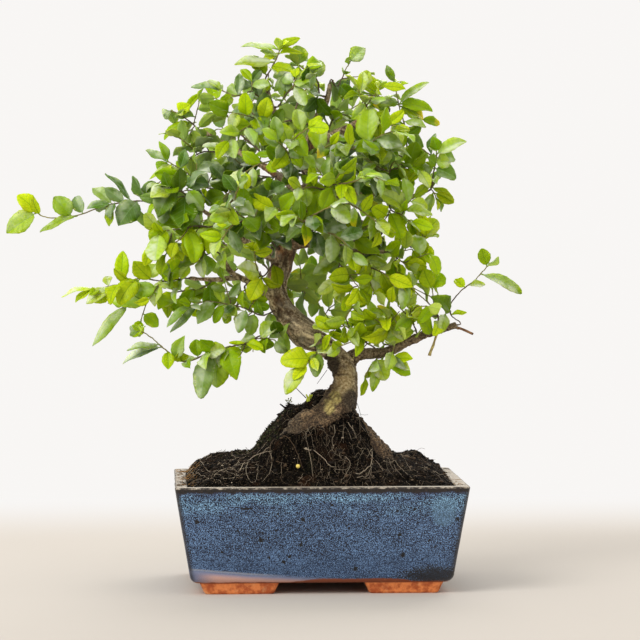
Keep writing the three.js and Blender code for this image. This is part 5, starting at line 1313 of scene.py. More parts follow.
def make_trunk(materials):
    limbs = {**ROOTS, **SCARS, **FINE_LIMBS}
    routes = [WOOD["stem"], WOOD["leader"], *map(Route, limbs.values())]
    branch_stubs = [Route(route[:2]) for route in BRANCHES.values()]
    points, normals, quads = joined_limbs([*routes, *branch_stubs])
    crack, flake = bark_values(points, routes)
    pale = spot(points, *PALE_SPOT) * 0.9
    algae = np.maximum.reduce([spot(points, *place) for place in ALGAE_SPOTS])
    snag = spot(points, *SNAG_SPOT)
    burr = spot(points, *BURR_SPOT)
    rough = np.maximum(burr, snag)
    aside = np.abs(points[:, 0] - RING_MIDDLE)
    front = smoothstep(-2, -5, points[:, 1]) * smoothstep(RING_HALF, RING_HALF - 2, aside)
    level = points[:, 2] + 0.5 * field(points, 3, 77)
    ring = np.exp(-((level - RING_HEIGHT) / 0.7) ** 2) * front
    ledge = np.exp(-((level - RING_HEIGHT + 1.8) / 1.2) ** 2) * front
    crack = np.maximum.reduce([crack * (1 - 0.8 * pale), ring, 0.75 * snag])
    height = points[:, 2] - soil_height(points[:, 0], points[:, 1])
    low = smoothstep(15, 3, height + 9 * layered(points, 5, 3, shift=33))
    ragged = layered(points, 5, 3, shift=35)
    under = smoothstep(0.1, -0.6, normals[:, 2] + 0.8 * ragged)
    end = smoothstep(-4, -26, points[:, 0] + 12 * ragged)
    right = smoothstep(28, 34, points[:, 0])
    at_foot = smoothstep(*SOILED_SPAN, points[:, 2])
    soiled = 0.9 * low + at_foot * (right + 0.8 * end + 0.8 * under) + 0.85 * snag
    soiled = np.clip(soiled + 0.3 * smoothstep(*DUSTY_SPAN, points[:, 2] + 8 * ragged), 0, 1)
    mossy_end = 0.85 * smoothstep(-11, -23, points[:, 0] + 9 * ragged) * smoothstep(*MOSSY_SPAN, points[:, 2])
    lump = layered(points, 8, 3, shift=7)
    depth = BARK_DEPTH * flake * (1 - 0.75 * pale) - FISSURE_DEPTH * crack ** 2 * (1 - pale) * (1 - snag)
    depth += 0.3 + mix(0.7, 1.7, smoothstep(*LUMPY_SPAN, points[:, 2])) * lump
    depth += rough * (3.6 * layered(points, 4.2, 3, shift=9) + 0.4) + 0.9 * ledge - 0.8 * ring
    depth += 1.3 * soiled * layered(points, 2.2, 2, shift=13)
    points = points + normals * depth[:, None]
    shape = Shape()
    shape.add(
        points, quads, (), bark_crack=crack, bark_flake=flake, bark_pale=pale, bark_algae=algae,
        bark_rough=np.maximum(rough, mossy_end), bark_soiled=soiled,
    )
    return add_piece("trunk_wood", shape, materials, "trunk")


def make_branches(materials):
    shape = Shape()
    start = np.append(WOOD["right_main"].along(HANGING_FROM)[0], 0)
    hanging = [tuple(start + bend) for bend in HANGING_BENDS]
    for number, (name, corners) in enumerate({**BRANCHES, "hanging": hanging}.items()):
        route = Route(corners)
        centres, radii, shares = route.sampled(BRANCH_STEP)
        radii = radii * BRANCH_GIRTH.get(name, 1)
        rng = np.random.default_rng(400 + number)
        knots = sum(np.exp(-((shares - knot) * route.length / 1.6) ** 2) for knot in rng.uniform(0.1, 1, 7))
        radii = radii * (1 + 0.14 * np.minimum(knots, 1.5) + 0.04 * rng.normal(size=len(radii)))
        wander = np.stack([layered(centres, 9, 2, shift=number * 3 + axis) for axis in range(3)], axis=1)
        centres = centres + 0.9 * wander * (np.sin(math.pi * shares) ** 0.5)[:, None]
        points, quads, ends = tube(centres, radii, BRANCH_SIDES, limb_shape(500 + number))
        outward = points - np.vstack([np.repeat(centres, BRANCH_SIDES, axis=0), centres[:1], centres[-1:]])
        bark = layered(points, 1.6, 3, shift=number)
        points = points + outward * 0.1 * bark[:, None]
        shape.add(
            points, quads, ends, bark_crack=np.clip(-bark, 0, 1), bark_flake=bark, bark_pale=0,
            bark_algae=float(name == "hanging"), bark_rough=0,
            bark_soiled=DARK_BRANCHES.get(name, BRANCH_TONE),
        )
    return add_piece("branches", shape, materials, "trunk")


# Fine pot: one stoneware body with its feet and drainage holes, a little uneven as thrown clay is.
POT_POINT_STEP = 3.2
POT_CORNER_STEPS = 8
POT_RING_STEP = 3
POT_UNEVEN = 0.22
RIM_INNER_ROUND = 1.2
HOLE_SIDES = 40
PAST = 2


def pot_width(z):
    return mix(BASE_WIDTH, RIM_WIDTH, (z - FOOT_HEIGHT) / (RIM_HEIGHT - FOOT_HEIGHT))


def pot_depth(z):
    return mix(BASE_DEPTH, RIM_DEPTH, (z - FOOT_HEIGHT) / (RIM_HEIGHT - FOOT_HEIGHT))


# A rounded rectangle at one height, anticlockwise seen from above, with points all along its sides.
# Its points are shared out alike whatever its size, so that rings of one count can be joined.
def rectangle_ring(width, depth, radius, z, long_steps, short_steps, corner_steps):
    points = []
    turns = ((0, 1, 1, long_steps), (1, -1, 1, short_steps), (2, -1, -1, long_steps), (3, 1, -1, short_steps))
    for turn, sign_x, sign_y, steps in turns:
        middle = np.array([sign_x * (width / 2 - radius), sign_y * (depth / 2 - radius)])
        for step in range(corner_steps + 1):
            angle = (turn + step / corner_steps) * math.pi / 2
            points.append(middle + radius * np.array([math.cos(angle), math.sin(angle)]))
        straight = np.array([-sign_y, 0]) if turn % 2 == 0 else np.array([0, -1 if sign_x < 0 else 1])
        span = (width if turn % 2 == 0 else depth) - 2 * radius
        start = points[-1]
        for step in range(1, steps):
            points.append(start + straight * span * step / steps)
    ring = np.array(points)
    return np.column_stack([ring, np.full(len(ring), z)])


# A closed body through a stack of rings that have the same number of points.
def loft(rings):
    count = len(rings[0])
    points = np.vstack([*rings, rings[0].mean(axis=0)[None], rings[-1].mean(axis=0)[None]])
    low = np.arange((len(rings) - 1) * count).reshape(-1, count)
    onward = np.roll(low, -1, axis=1)
    quads = np.stack([low, onward, onward + count, low + count], axis=-1).reshape(-1, 4)
    around = np.arange(count)
    following = np.roll(around, -1)
    top = (len(rings) - 1) * count
    bottom_end = np.stack([np.full(count, len(points) - 2), following, around], axis=-1)
    top_end = np.stack([np.full(count, len(points) - 1), top + around, top + following], axis=-1)
    return points, quads, np.vstack([bottom_end, top_end])


def pot_ring(z, inset):
    radius = max(CORNER_RADIUS - inset / 2, INNER_CORNER)
    long_steps = round(RIM_WIDTH / POT_POINT_STEP)
    short_steps = round(RIM_DEPTH / POT_POINT_STEP)
    size = (pot_width(z) - 2 * inset, pot_depth(z) - 2 * inset)
    return rectangle_ring(*size, radius, z, long_steps, short_steps, POT_CORNER_STEPS)


# Heights and insets up the outside, over the lip and rim, and down the inside to the floor.
def pot_profile():
    profile = [(FOOT_HEIGHT, inset) for inset in np.linspace(50, BASE_ROUND + 3, 12)]
    for angle in np.linspace(0, math.pi / 2, 7):
        rise = BASE_ROUND * (1 - math.cos(angle))
        profile.append((FOOT_HEIGHT + rise, BASE_ROUND * (1 - math.sin(angle))))
    wall = np.arange(FOOT_HEIGHT + BASE_ROUND + POT_RING_STEP, RIM_HEIGHT - LIP_ROUND - 1, POT_RING_STEP)
    profile += [(z, 0) for z in wall]
    for angle in np.linspace(0, math.pi / 2, 6):
        lift = LIP_ROUND * (1 - math.sin(angle))
        profile.append((RIM_HEIGHT - lift, LIP_ROUND * (1 - math.cos(angle))))
    profile += [(RIM_HEIGHT, inset) for inset in np.linspace(LIP_ROUND + 1, WALL - RIM_INNER_ROUND, 6)]
    for angle in np.linspace(0, math.pi / 2, 5)[1:]:
        drop = RIM_INNER_ROUND * (1 - math.cos(angle))
        profile.append((RIM_HEIGHT - drop, WALL - RIM_INNER_ROUND * (1 - math.sin(angle))))
    floor = FOOT_HEIGHT + FLOOR
    profile += [(z, WALL) for z in np.linspace(RIM_HEIGHT - 4, floor + FLOOR_ROUND, 10)]
    profile += [(floor + 1, WALL + 2), (floor, WALL + FLOOR_ROUND)]
    profile += [(floor, inset) for inset in (20, 30, 40, 50)]
    return profile


def foot_rings(sign_x, sign_y):
    middle = np.array([sign_x * (FOOT_INNER + FOOT_OUTER) / 2, sign_y * (FOOT_FRONT + FOOT_BACK) / 2, 0])
    width = FOOT_OUTER - FOOT_INNER
    depth = FOOT_FRONT - FOOT_BACK
    rings = []
    for z in [0, 0.25, 0.8, *np.linspace(1.8, FOOT_HEIGHT, 5), FOOT_HEIGHT + PAST]:
        inset = FOOT_TAPER * max(1 - z / FOOT_HEIGHT, 0)
        worn = 0.7 * max(1 - z / 0.8, 0) ** 2
        size = (width - 2 * inset - 2 * worn, depth - inset - 2 * worn)
        ring = rectangle_ring(*size, FOOT_CORNER, z, 18, 11, 5)
        rings.append(ring + middle)
    return rings


def uneven(points, amount, size, shift):
    moves = np.stack([layered(points, size, 2, shift + axis) for axis in range(3)], axis=1)
    return points + amount * moves


def temporary(name, part):
    shape = Shape()
    shape.add(*part)
    return make_object(name, shape, [])


def combine(target, cutter, operation):
    modifier = target.modifiers.new(operation, "BOOLEAN")
    modifier.solver = "MANIFOLD"
    modifier.operation = operation
    modifier.object = cutter


def make_pot(materials):
    points, quads, ends = loft([pot_ring(z, inset) for z, inset in pot_profile()])
    loose = smoothstep(FOOT_HEIGHT, FOOT_HEIGHT + 6, points[:, 2]) * (points[:, 2] < RIM_HEIGHT - 0.1)
    points = mix(points, uneven(points, POT_UNEVEN, 22, 60), loose[:, None])
    body = temporary("pot_body", (points, quads, ends))
    tools = []
    for sign_x in (-1, 1):
        for sign_y in (-1, 1):
            tools.append(temporary("foot_body", loft(foot_rings(sign_x, sign_y))))
            combine(body, tools[-1], "UNION")
    for side in (-1, 1):
        middle = side * DRAIN_SPACING / 2
        centres = np.array([[middle, 0, z] for z in (FOOT_HEIGHT - PAST, FOOT_HEIGHT + FLOOR + PAST)], float)
        tools.append(temporary("drain_body", tube(centres, np.full(2, DRAIN_RADIUS), HOLE_SIDES)))
        combine(body, tools[-1], "DIFFERENCE")
    mesh = bpy.data.meshes.new_from_object(body.evaluated_get(bpy.context.evaluated_depsgraph_get()))
    for made in [body, *tools]:
        bpy.data.objects.remove(made)
    mesh.name = "pot_glazed"
    mesh.materials.clear()
    for material in materials:
        mesh.materials.append(material)
    mesh.polygons.foreach_set("use_smooth", np.ones(len(mesh.polygons), bool))
    mesh.set_sharp_from_angle(angle=math.radians(40))
    pot = bpy.data.objects.new("pot_glazed", mesh)
    bpy.context.scene.collection.objects.link(pot)
    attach(pot, "root")
    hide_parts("pot")
    return pot


# Fine soil: crumbly peat with fibres, rootlets and moss on it.
SOIL_SEED = 7
SOIL_HALF_X = 91.5
SOIL_HALF_Y = 66.5
SOIL_CALM = 6
SOIL_ROUGH = 1.6
CRUMB_ROUGH = 0.9
FIBRES = 1500
FIBRE_STEPS = 7
FIBRE_RADII = (0.1, 0.14, 0.2, 0.3)
FIBRE_SHARES = (0.42, 0.36, 0.17, 0.05)
PALE_FIBRES = 0.16
CRUMBS = 1900
CRUMB_RINGS = np.array([-0.92, -0.35, 0.4, 0.92])
CRUMB_SIDES = 5
PALE_CRUMBS = 0.15
SPILLED = 150
OCHRE_TONE = 1.6
PELLET_TONE = 1.4

# Soil banked against the front roots or washed off the heap, as (x, y, reach, reach, height).
BANKS = (
    (-4, -38, 9, 7, 3), (-22, -38, 9, 7, 3), (27, -18, 7, 7, 2.5), (38, -34, 8, 8, 2), (-45, 8, 8, 26, -8.5),
    (-32, 8, 6, 20, -4), (-11, 6, 6, 14, -5.5), (-2, 4, 4, 4, 1.5), (-66, 2, 12, 12, 3), (28, 5, 7, 16, -4.5),
    (-82, 12, 13, 42, 5), (70, 10, 8, 16, 4.5), (84, 10, 9, 22, 3), (-30, -32, 8, 8, 2.5), (31, -17, 5, 5, 2),
    (-25, -35, 8, 7, 2.5), (-13, -38, 8, 6, 3), (2, -37, 7, 5, 2.5),
)


def soil_top(x, y):
    place = np.column_stack([x, y, np.zeros(len(x))])
    edge = np.minimum(SOIL_HALF_X - np.abs(x), SOIL_HALF_Y - np.abs(y)) / SOIL_CALM
    calm = np.clip(edge, 0.15, 1)
    rough = SOIL_ROUGH * layered(place, 7, 3, shift=3)
    crumbs = CRUMB_ROUGH * (1 - 2 * np.abs(layered(place, 2.4, 2, shift=5)))
    banks = sum(
        high * np.exp(-((x - at_x) / reach_x) ** 2 - ((y - at_y) / reach_y) ** 2)
        for at_x, at_y, reach_x, reach_y, high in BANKS
    )
    return soil_height(x, y) + banks + calm * (rough + crumbs)


def make_soil(materials):
    half_x = RIM_WIDTH / 2 - WALL - SOIL_GAP
    half_y = RIM_DEPTH / 2 - WALL - SOIL_GAP
    columns = round(2 * half_x / SOIL_PITCH)
    rows = round(2 * half_y / SOIL_PITCH)
    grid_x, grid_y = np.meshgrid(
        np.linspace(-half_x, half_x, columns + 1), np.linspace(-half_y, half_y, rows + 1)
    )
    x, y = grid_x.ravel(), grid_y.ravel()
    top = soil_top(x, y)
    place = np.column_stack([x, y, top])
    jitter = 0.3 * np.stack([field(place, 1.3, 11), field(place, 1.3, 12)], axis=1)
    inner = (np.abs(x) < half_x - 0.1) & (np.abs(y) < half_y - 0.1)
    place[:, :2] += jitter * inner[:, None]
    narrow = np.minimum(top, RIM_HEIGHT)
    place[:, 0] *= (pot_width(narrow) / 2 - WALL - SOIL_GAP) / half_x
    place[:, 1] *= (pot_depth(narrow) / 2 - WALL - SOIL_GAP) / half_y
    row = columns + 1
    low = (np.arange(rows)[:, None] * row + np.arange(columns)[None]).ravel()
    quads = np.stack([low, low + 1, low + row + 1, low + row], axis=-1)
    border = np.concatenate([
        np.arange(columns), np.arange(rows) * row + columns,
        rows * row + np.arange(columns, 0, -1), np.arange(rows, 0, -1) * row,
    ])
    bottom = FOOT_HEIGHT + FLOOR + SOIL_GAP
    skirt = place[border].copy()
    skirt[:, 0] *= (pot_width(bottom) / 2 - WALL - FLOOR_ROUND) / (pot_width(RIM_HEIGHT) / 2 - WALL)
    skirt[:, 1] *= (pot_depth(bottom) / 2 - WALL - FLOOR_ROUND) / (pot_depth(RIM_HEIGHT) / 2 - WALL)
    skirt[:, 2] = bottom
    base = len(place)
    foot = base + np.arange(len(border))
    onward = np.roll(np.arange(len(border)), -1)
    sides = np.stack([border, foot, foot[onward], border[onward]], axis=-1)
    centre = np.array([[0, 0, bottom]], float)
    points = np.vstack([place, skirt, centre])
    under = np.stack([np.full(len(border), len(points) - 1), foot[onward], foot], axis=-1)
    shape = Shape()
    shape.add(points, np.vstack([quads, sides]), under, soil_moss=moss_share(points))
    return add_piece("soil_peat", shape, materials, "soil")


# Moss grows on the heap's left flank and in a few thin patches elsewhere.
def moss_share(points):
    flank = spot(points, MOSS_MIDDLE, MOSS_REACH, 0.9, 90)
    patches = smoothstep(0.4, 0.7, layered(points, 16, 2, 95)) * 0.5
    return np.maximum(flank * 0.6, patches)


# A thread: a thin tube with its own tone, from 0, dark, to 1, pale.
def add_thread(shape, points, radius, sides, tone, taper=0.5):
    points = np.asarray(points, float)
    radii = radius * mix(1, taper, np.linspace(0, 1, len(points)))
    mesh, quads, ends = tube(points, radii, sides)
    shape.add(mesh, quads, ends, thread_tone=tone)


# Fibres that lie on the peat in loose arcs, some with an end in the air.
def make_fibres(materials):
    rng = np.random.default_rng(SOIL_SEED)
    shape = Shape()
    for _ in range(FIBRES):
        x, y = rng.uniform(-90, 90), rng.uniform(-65, 65)
        length = rng.gamma(3, 2.6) + 2
        heading = rng.uniform(0, 2 * math.pi)
        bend = rng.normal(0, 0.28)
        step = length / (FIBRE_STEPS - 1)
        headings = heading + bend * np.arange(FIBRE_STEPS) + rng.normal(0, 0.12, FIBRE_STEPS)
        xs = np.clip(x + np.cumsum(np.cos(headings)) * step, -91, 91)
        ys = np.clip(y + np.cumsum(np.sin(headings)) * step, -66, 66)
        share = np.linspace(0, 1, FIBRE_STEPS)
        lift = 0.1 + rng.uniform(0, 0.7) * np.sin(math.pi * share) + (rng.random() < 0.12) * 2.2 * share ** 2
        zs = soil_top(xs, ys) + lift
        radius = rng.choice(FIBRE_RADII, p=FIBRE_SHARES)
        dry = 0.25 * smoothstep(-40, -88, x)
        tone = rng.uniform(0.55, 0.95) if rng.random() < PALE_FIBRES else rng.beta(1.2, 4.4)
        add_thread(shape, np.column_stack([xs, ys, zs]), radius, 3, np.clip(tone + dry, 0, 1))
    for _ in range(SPILLED):
        left = rng.random() < 0.75
        y = rng.uniform(-62, 64)
        x = rng.uniform(-97, -86) if left else rng.uniform(86, 95)
        heading = rng.uniform(0, 2 * math.pi)
        share = np.linspace(0, 1, 5)
        reach = rng.uniform(3, 9) * share
        turned = heading + rng.normal(0, 0.5) * share
        xs, ys = x + reach * np.cos(turned), y + reach * np.sin(turned)
        zs = np.maximum(soil_top(np.clip(xs, -91, 91), np.clip(ys, -66, 66)), RIM_HEIGHT)
        zs = zs + 0.15 + rng.uniform(0, 0.9) * np.sin(math.pi * share)
        points = np.column_stack([np.clip(xs, -98.5, 98.5), np.clip(ys, -73, 73), zs])
        radius = rng.uniform(0.1, 0.26)
        tone = rng.uniform(0, 0.4) if rng.random() < 0.5 else OCHRE_TONE
        add_thread(shape, points, radius, 3, tone)
    return add_piece("soil_fibres", shape, materials, "soil")


# Crumbs of peat and bark: small uneven lumps that sit on the surface.
def make_crumbs(materials):
    rng = np.random.default_rng(SOIL_SEED + 1)
    shape = Shape()
    for _ in range(CRUMBS):
        x, y = rng.uniform(-89, 89), rng.uniform(-64, 64)
        bright = rng.random() < PALE_CRUMBS
        size = (rng.gamma(2, 0.22) + 0.3) * (0.5 if bright else 1)
        flat = rng.uniform(0.45, 0.9)
        z = soil_top(np.array([x]), np.array([y]))[0] + size * flat * 0.25
        ends = rng.normal(size=3)
        axis = unit(ends * [1, 1, 0.3])
        centres = np.array([x, y, z]) + np.outer(CRUMB_RINGS * size * rng.uniform(0.8, 1.7), axis)
        radii = size * np.sqrt(1 - CRUMB_RINGS ** 2) * rng.uniform(0.75, 1.2, len(CRUMB_RINGS))
        points, quads, caps = tube(centres, radii, CRUMB_SIDES)
        points = uneven(points, 0.3 * size, 1.1, 80)
        points[:, 2] = z + (points[:, 2] - z) * flat
        shape.add(points, quads, caps, thread_tone=rng.uniform(0.6, 1) if bright else rng.beta(1.1, 4.5))
    return add_piece("soil_crumbs", shape, materials, "soil")


# Where the line of sight through a place of the square image first meets the soil.
IMAGE_SIZE = 640


def line_of_sight(place):
    zoom = CAMERA_LENS / CAMERA_SENSOR * IMAGE_SIZE
    right, up = (place[0] - IMAGE_SIZE / 2) / zoom, (IMAGE_SIZE / 2 - place[1]) / zoom
    yaw, pitch = math.radians(CAMERA_YAW), math.radians(CAMERA_PITCH)
    ahead = math.cos(pitch) - up * math.sin(pitch)
    return np.array([
        right * math.cos(yaw) + ahead * math.sin(yaw), ahead * math.cos(yaw) - right * math.sin(yaw),
        math.sin(pitch) + up * math.cos(pitch),
    ])


# Where a point is seen in the square image, as pixels across and down.
def on_image(point):
    yaw, pitch = math.radians(CAMERA_YAW), math.radians(CAMERA_PITCH)
    off_x, off_y, off_z = point - CAMERA_PLACE
    right = off_x * math.cos(yaw) - off_y * math.sin(yaw)
    ahead = off_x * math.sin(yaw) + off_y * math.cos(yaw)
    depth = ahead * math.cos(pitch) + off_z * math.sin(pitch)
    up = off_z * math.cos(pitch) - ahead * math.sin(pitch)
    zoom = CAMERA_LENS / CAMERA_SENSOR * IMAGE_SIZE / depth
    return IMAGE_SIZE / 2 + right * zoom, IMAGE_SIZE / 2 - up * zoom


def soil_behind(place):
    sight = line_of_sight(place)
    distance = (np.linspace(-66, 66, 400) - CAMERA_PLACE[1]) / sight[1]
    points = CAMERA_PLACE + distance[:, None] * sight
    points[:, 0] = np.clip(points[:, 0], -90.5, 90.5)
    below = np.nonzero(points[:, 2] < soil_height(points[:, 0], points[:, 1]))[0]
    return points[below[0] if len(below) else len(points) // 2]


# Rootlets seen on the soil, as places of the square image, with their thickness and tone.
ROOTLETS = {
    "left_loop": ([(240, 472), (246, 462), (256, 455), (264, 455), (272, 458)], 0.3, 0.9),
    "left_ring": [(248, 463), (246, 471), (248, 479), (253, 484), (257, 478), (258, 468)],
    "left_twist": [(270, 457), (272, 466), (268, 476), (262, 484)],
    "long_root": ([(304, 455), (311, 455), (318, 457), (325, 461), (330, 467), (335, 468)], 0.26, 0.95),
    "dark_root": ([(283, 447), (291, 452), (298, 460), (303, 470)], 0.3, 0.5),
    "right_curl": ([(356, 476), (362, 473), (368, 469), (372, 462), (372, 455)], 0.3, 0.95),
    "right_curl_low": ([(357, 480), (364, 477), (370, 472), (373, 466)], 0.26, 0.8),
    "middle_arc": [(345, 458), (350, 464), (348, 472), (342, 480), (341, 485)],
    "thread_down": [(308, 452), (310, 460), (312, 470), (313, 478)],
    "thread_middle": [(334, 428), (335, 436), (332, 444), (334, 450)],
    "thread_fork": [(348, 424), (353, 432), (357, 438)],
    "thread_arch": [(314, 432), (309, 438), (306, 446), (308, 452)],
    "right_lines": [(386, 458), (396, 464), (404, 472), (412, 480)],
    "right_lines_high": [(400, 456), (406, 463), (411, 472)],
    "right_lines_far": [(420, 466), (430, 470), (440, 476), (448, 478)],
    "left_lines": [(200, 470), (214, 474), (228, 474), (240, 478)],
    "left_lines_low": [(182, 474), (194, 478), (208, 480), (222, 484)],
    "left_shoulder": [(214, 460), (224, 458), (236, 459), (246, 456)],
}
ROOTLET_RADIUS = 0.17
ROOTLET_TONE = 0.85
HANGING_ROOTS = 190
HANGING_SPAN = ((300, 392), (418, 484))
STRAY_HAIRS = {
    "right_hair": ([(357, 403), (359, 409), (361, 416), (363, 424)], -6, 0.16, 0.35),
    "right_hair_side": ([(360, 414), (364, 415), (368, 414.5)], -6, 0.12, 0.4),
    "slope_hair": ([(411, 460), (416, 452), (421, 448), (425, 449)], -10, 0.14, 0.6),
    "left_hair": ([(252, 452), (255, 446), (258, 441)], -6, 0.14, 0.6),
    "bud_twig": ([(306, 398), (300, 392), (295, 387)], -8, 0.34, 0.3),
    "stub": ([(288, 411), (284, 407), (280, 404)], 0, 0.7, 0.12),
    "thorn": ([(327, 370), (322, 377), (317, 384)], -6, 0.22, 0.2),
}


def on_sight(place, depth):
    near = soil_behind(place)
    back = (depth - CAMERA_PLACE[1]) / (near[1] - CAMERA_PLACE[1])
    return CAMERA_PLACE + (near - CAMERA_PLACE) * back


def make_rootlets(materials):
    rng = np.random.default_rng(SOIL_SEED + 2)
    shape = Shape()
    for given in ROOTLETS.values():
        places, radius, tone = given if isinstance(given, tuple) else (given, ROOTLET_RADIUS, ROOTLET_TONE)
        route = Route([(*soil_behind(place), radius) for place in places])
        points = route.sampled(1.6)[0]
        points[:, 2] = soil_top(points[:, 0], points[:, 1]) + 0.5 + 0.4 * field(points, 5, 70)
        add_thread(shape, points, radius, 5, tone)
    (left, right), (top, bottom) = HANGING_SPAN
    for _ in range(HANGING_ROOTS):
        start = np.array([rng.uniform(left, right), rng.uniform(top, bottom)])
        heading = math.pi / 2 + rng.normal(0, 0.55)
        turns = heading + np.cumsum(rng.normal(0, 0.32, 6))
        length = rng.uniform(1.2, 3.4)
        places = start + np.cumsum(length * np.column_stack([np.cos(turns), np.sin(turns)]), axis=0)
        points = np.array([soil_behind(place) for place in places])
        points[:, 2] = soil_top(points[:, 0], points[:, 1]) + rng.uniform(0.1, 0.8)
        add_thread(shape, points, rng.uniform(0.06, 0.14), 3, rng.uniform(0.35, 1))
    for places, depth, radius, tone in STRAY_HAIRS.values():
        route = Route([(*on_sight(place, depth), radius) for place in places])
        add_thread(shape, route.sampled(1.5)[0], radius, 5, tone, 0.7)
    pellet = soil_behind(PELLET_PLACE) + np.array([0, -1, 0.6])
    add_lump(shape, pellet, PELLET_RADIUS, PELLET_TONE)
    return add_piece("soil_rootlets", shape, materials, "soil")


# A small round lump of an even tone.
def add_lump(shape, middle, radius, tone, squash=1.0):
    steps = np.array([-0.97, -0.7, -0.25, 0.25, 0.7, 0.97])
    centres = middle + np.outer(steps * radius, np.array([0.1, -0.2, 1]) * squash)
    points, quads, caps = tube(centres, radius * np.sqrt(1 - steps ** 2), 10)
    shape.add(uneven(points, 0.12 * radius, 2, 85), quads, caps, thread_tone=tone)


# Moss tufts on the heap's left flank, a small weed and a sprout with a yellow-green cap.
MOSS_MIDDLE = np.array([-38, 2, 106])
MOSS_REACH = (30, 34, 20)
MOSS_TUFTS = 3600
PELLET_PLACE = (298, 467)
PELLET_RADIUS = 1.5
SPROUT_PLACE = (309, 400)
SPROUT_RADIUS = 3.2
WEED_PLACE = (288, 404)


def make_moss(materials):
    rng = np.random.default_rng(SOIL_SEED + 3)
    shape = Shape()
    xs = rng.normal(MOSS_MIDDLE[0], 20, MOSS_TUFTS)
    ys = rng.normal(MOSS_MIDDLE[1] - 6, 20, MOSS_TUFTS)
    kept = (np.abs(xs) < 84) & (np.abs(ys) < 60)
    xs, ys = xs[kept], ys[kept]
    roots = np.column_stack([xs, ys, soil_top(xs, ys) - 0.3])
    for root in roots[moss_share(roots) > rng.uniform(0.1, 0.8, len(roots))]:
        lean = rng.normal(0, 0.5, 3) + np.array([0, 0, 1])
        tip = root + unit(lean) * rng.uniform(0.6, 2)
        middle = mix(root, tip, 0.5) + rng.normal(0, 0.15, 3)
        add_thread(shape, [root, middle, tip], rng.uniform(0.2, 0.42), 3, rng.uniform(0, 0.55), 0.3)
    sprout = on_sight(SPROUT_PLACE, -6)
    for turn in np.linspace(0, 2 * math.pi, 6)[:-1]:
        lean = np.array([math.cos(turn), math.sin(turn), 1.6])
        tip = sprout + unit(lean) * SPROUT_RADIUS * 1.4
        add_thread(shape, [sprout, mix(sprout, tip, 0.5), tip], 1.1, 6, 1, 0.5)
    add_lump(shape, sprout, SPROUT_RADIUS * 0.7, 0.9)
    weed = on_sight(WEED_PLACE, 0)
    for turn in rng.uniform(0, 2 * math.pi, 9):
        lean = np.array([math.cos(turn), 0.4 * math.sin(turn), rng.uniform(0.5, 1.6)])
        tip = weed + unit(lean) * rng.uniform(2.5, 4.8)
        add_thread(shape, [weed, mix(weed, tip, 0.6), tip], 0.2, 4, 0.6)
        add_lump(shape, tip, 0.5, 0.75)
    return add_piece("soil_moss", shape, materials, "soil")


# A material's node tree, built by calls that return sockets.
class Graph:
    def __init__(self, name):
        self.material = bpy.data.materials.new(name)
        self.material.use_nodes = True
        self.tree = self.material.node_tree
        self.shader = self.tree.nodes["Principled BSDF"]

    def set(self, socket, value):
        if isinstance(value, bpy.types.NodeSocket):
            self.tree.links.new(value, socket)
        elif hasattr(value, "__len__") and len(value) == 3 and socket.type == "RGBA":
            socket.default_value = (*value, 1)
        else:
            socket.default_value = value

    def node(self, kind, settings=(), **inputs):
        made = self.tree.nodes.new(kind)
        for key, value in dict(settings).items():
            setattr(made, key, value)
        for key, value in inputs.items():
            self.set(made.inputs[key.replace("_", " ")], value)
        return made

    def math(self, operation, a, b=0.0, c=0.0):
        made = self.node("ShaderNodeMath", {"operation": operation})
        for socket, value in zip(made.inputs, (a, b, c)):
            self.set(socket, value)
        return made.outputs[0]

    def times(self, a, b):
        return self.math("MULTIPLY", a, b)

    def plus(self, a, b):
        return self.math("ADD", a, b)

    def minus(self, a, b):
        return self.math("SUBTRACT", a, b)

    def most(self, a, b):
        return self.math("MAXIMUM", a, b)

    def least(self, a, b):
        return self.math("MINIMUM", a, b)

    # A share that goes from 0 at low to 1 at high, eased.
    def step(self, value, low, high):
        made = self.node("ShaderNodeMapRange", {"interpolation_type": "SMOOTHSTEP"})
        for key, given in (("Value", value), ("From Min", low), ("From Max", high)):
            self.set(made.inputs[key], given)
        return made.outputs["Result"]

    def blend(self, share, a, b, kind="MIX"):
        made = self.node("ShaderNodeMix", {"data_type": "RGBA", "blend_type": kind})
        self.set(made.inputs["Factor"], share)
        self.set(made.inputs[6], a)
        self.set(made.inputs[7], b)
        return made.outputs[2]

    def attribute(self, name, output="Fac"):
        return self.node("ShaderNodeAttribute", {"attribute_name": name}).outputs[output]

    # Place in millimetres, in the part's own frame.
    def place(self, stretch=(1, 1, 1)):
        coordinates = self.node("ShaderNodeTexCoord").outputs["Object"]
        made = self.node("ShaderNodeVectorMath", {"operation": "MULTIPLY"})
        self.set(made.inputs[0], coordinates)
        self.set(made.inputs[1], tuple(1000 * part for part in stretch))
        return made.outputs[0]

    # Noise with features of about the given size in millimetres, from 0 to 1.
    def noise(self, size, detail=3, roughness=0.55, stretch=(1, 1, 1), distortion=0):
        made = self.node("ShaderNodeTexNoise")
        self.set(made.inputs["Vector"], self.place(stretch))
        for key, value in (("Scale", 1 / size), ("Detail", detail), ("Roughness", roughness)):
            self.set(made.inputs[key], value)
        self.set(made.inputs["Distortion"], distortion)
        return made.outputs["Fac"]

    def bump(self, height, strength, distance):
        made = self.node("ShaderNodeBump")
        for key, value in (("Strength", strength), ("Distance", distance * METRES), ("Height", height)):
            self.set(made.inputs[key], value)
        self.set(self.shader.inputs["Normal"], made.outputs["Normal"])

    def finish(self, colour, roughness, **sockets):
        self.set(self.shader.inputs["Base Color"], colour)
        self.set(self.shader.inputs["Roughness"], roughness)
        for key, value in sockets.items():
            self.set(self.shader.inputs[key.replace("_", " ")], value)
        return self.material
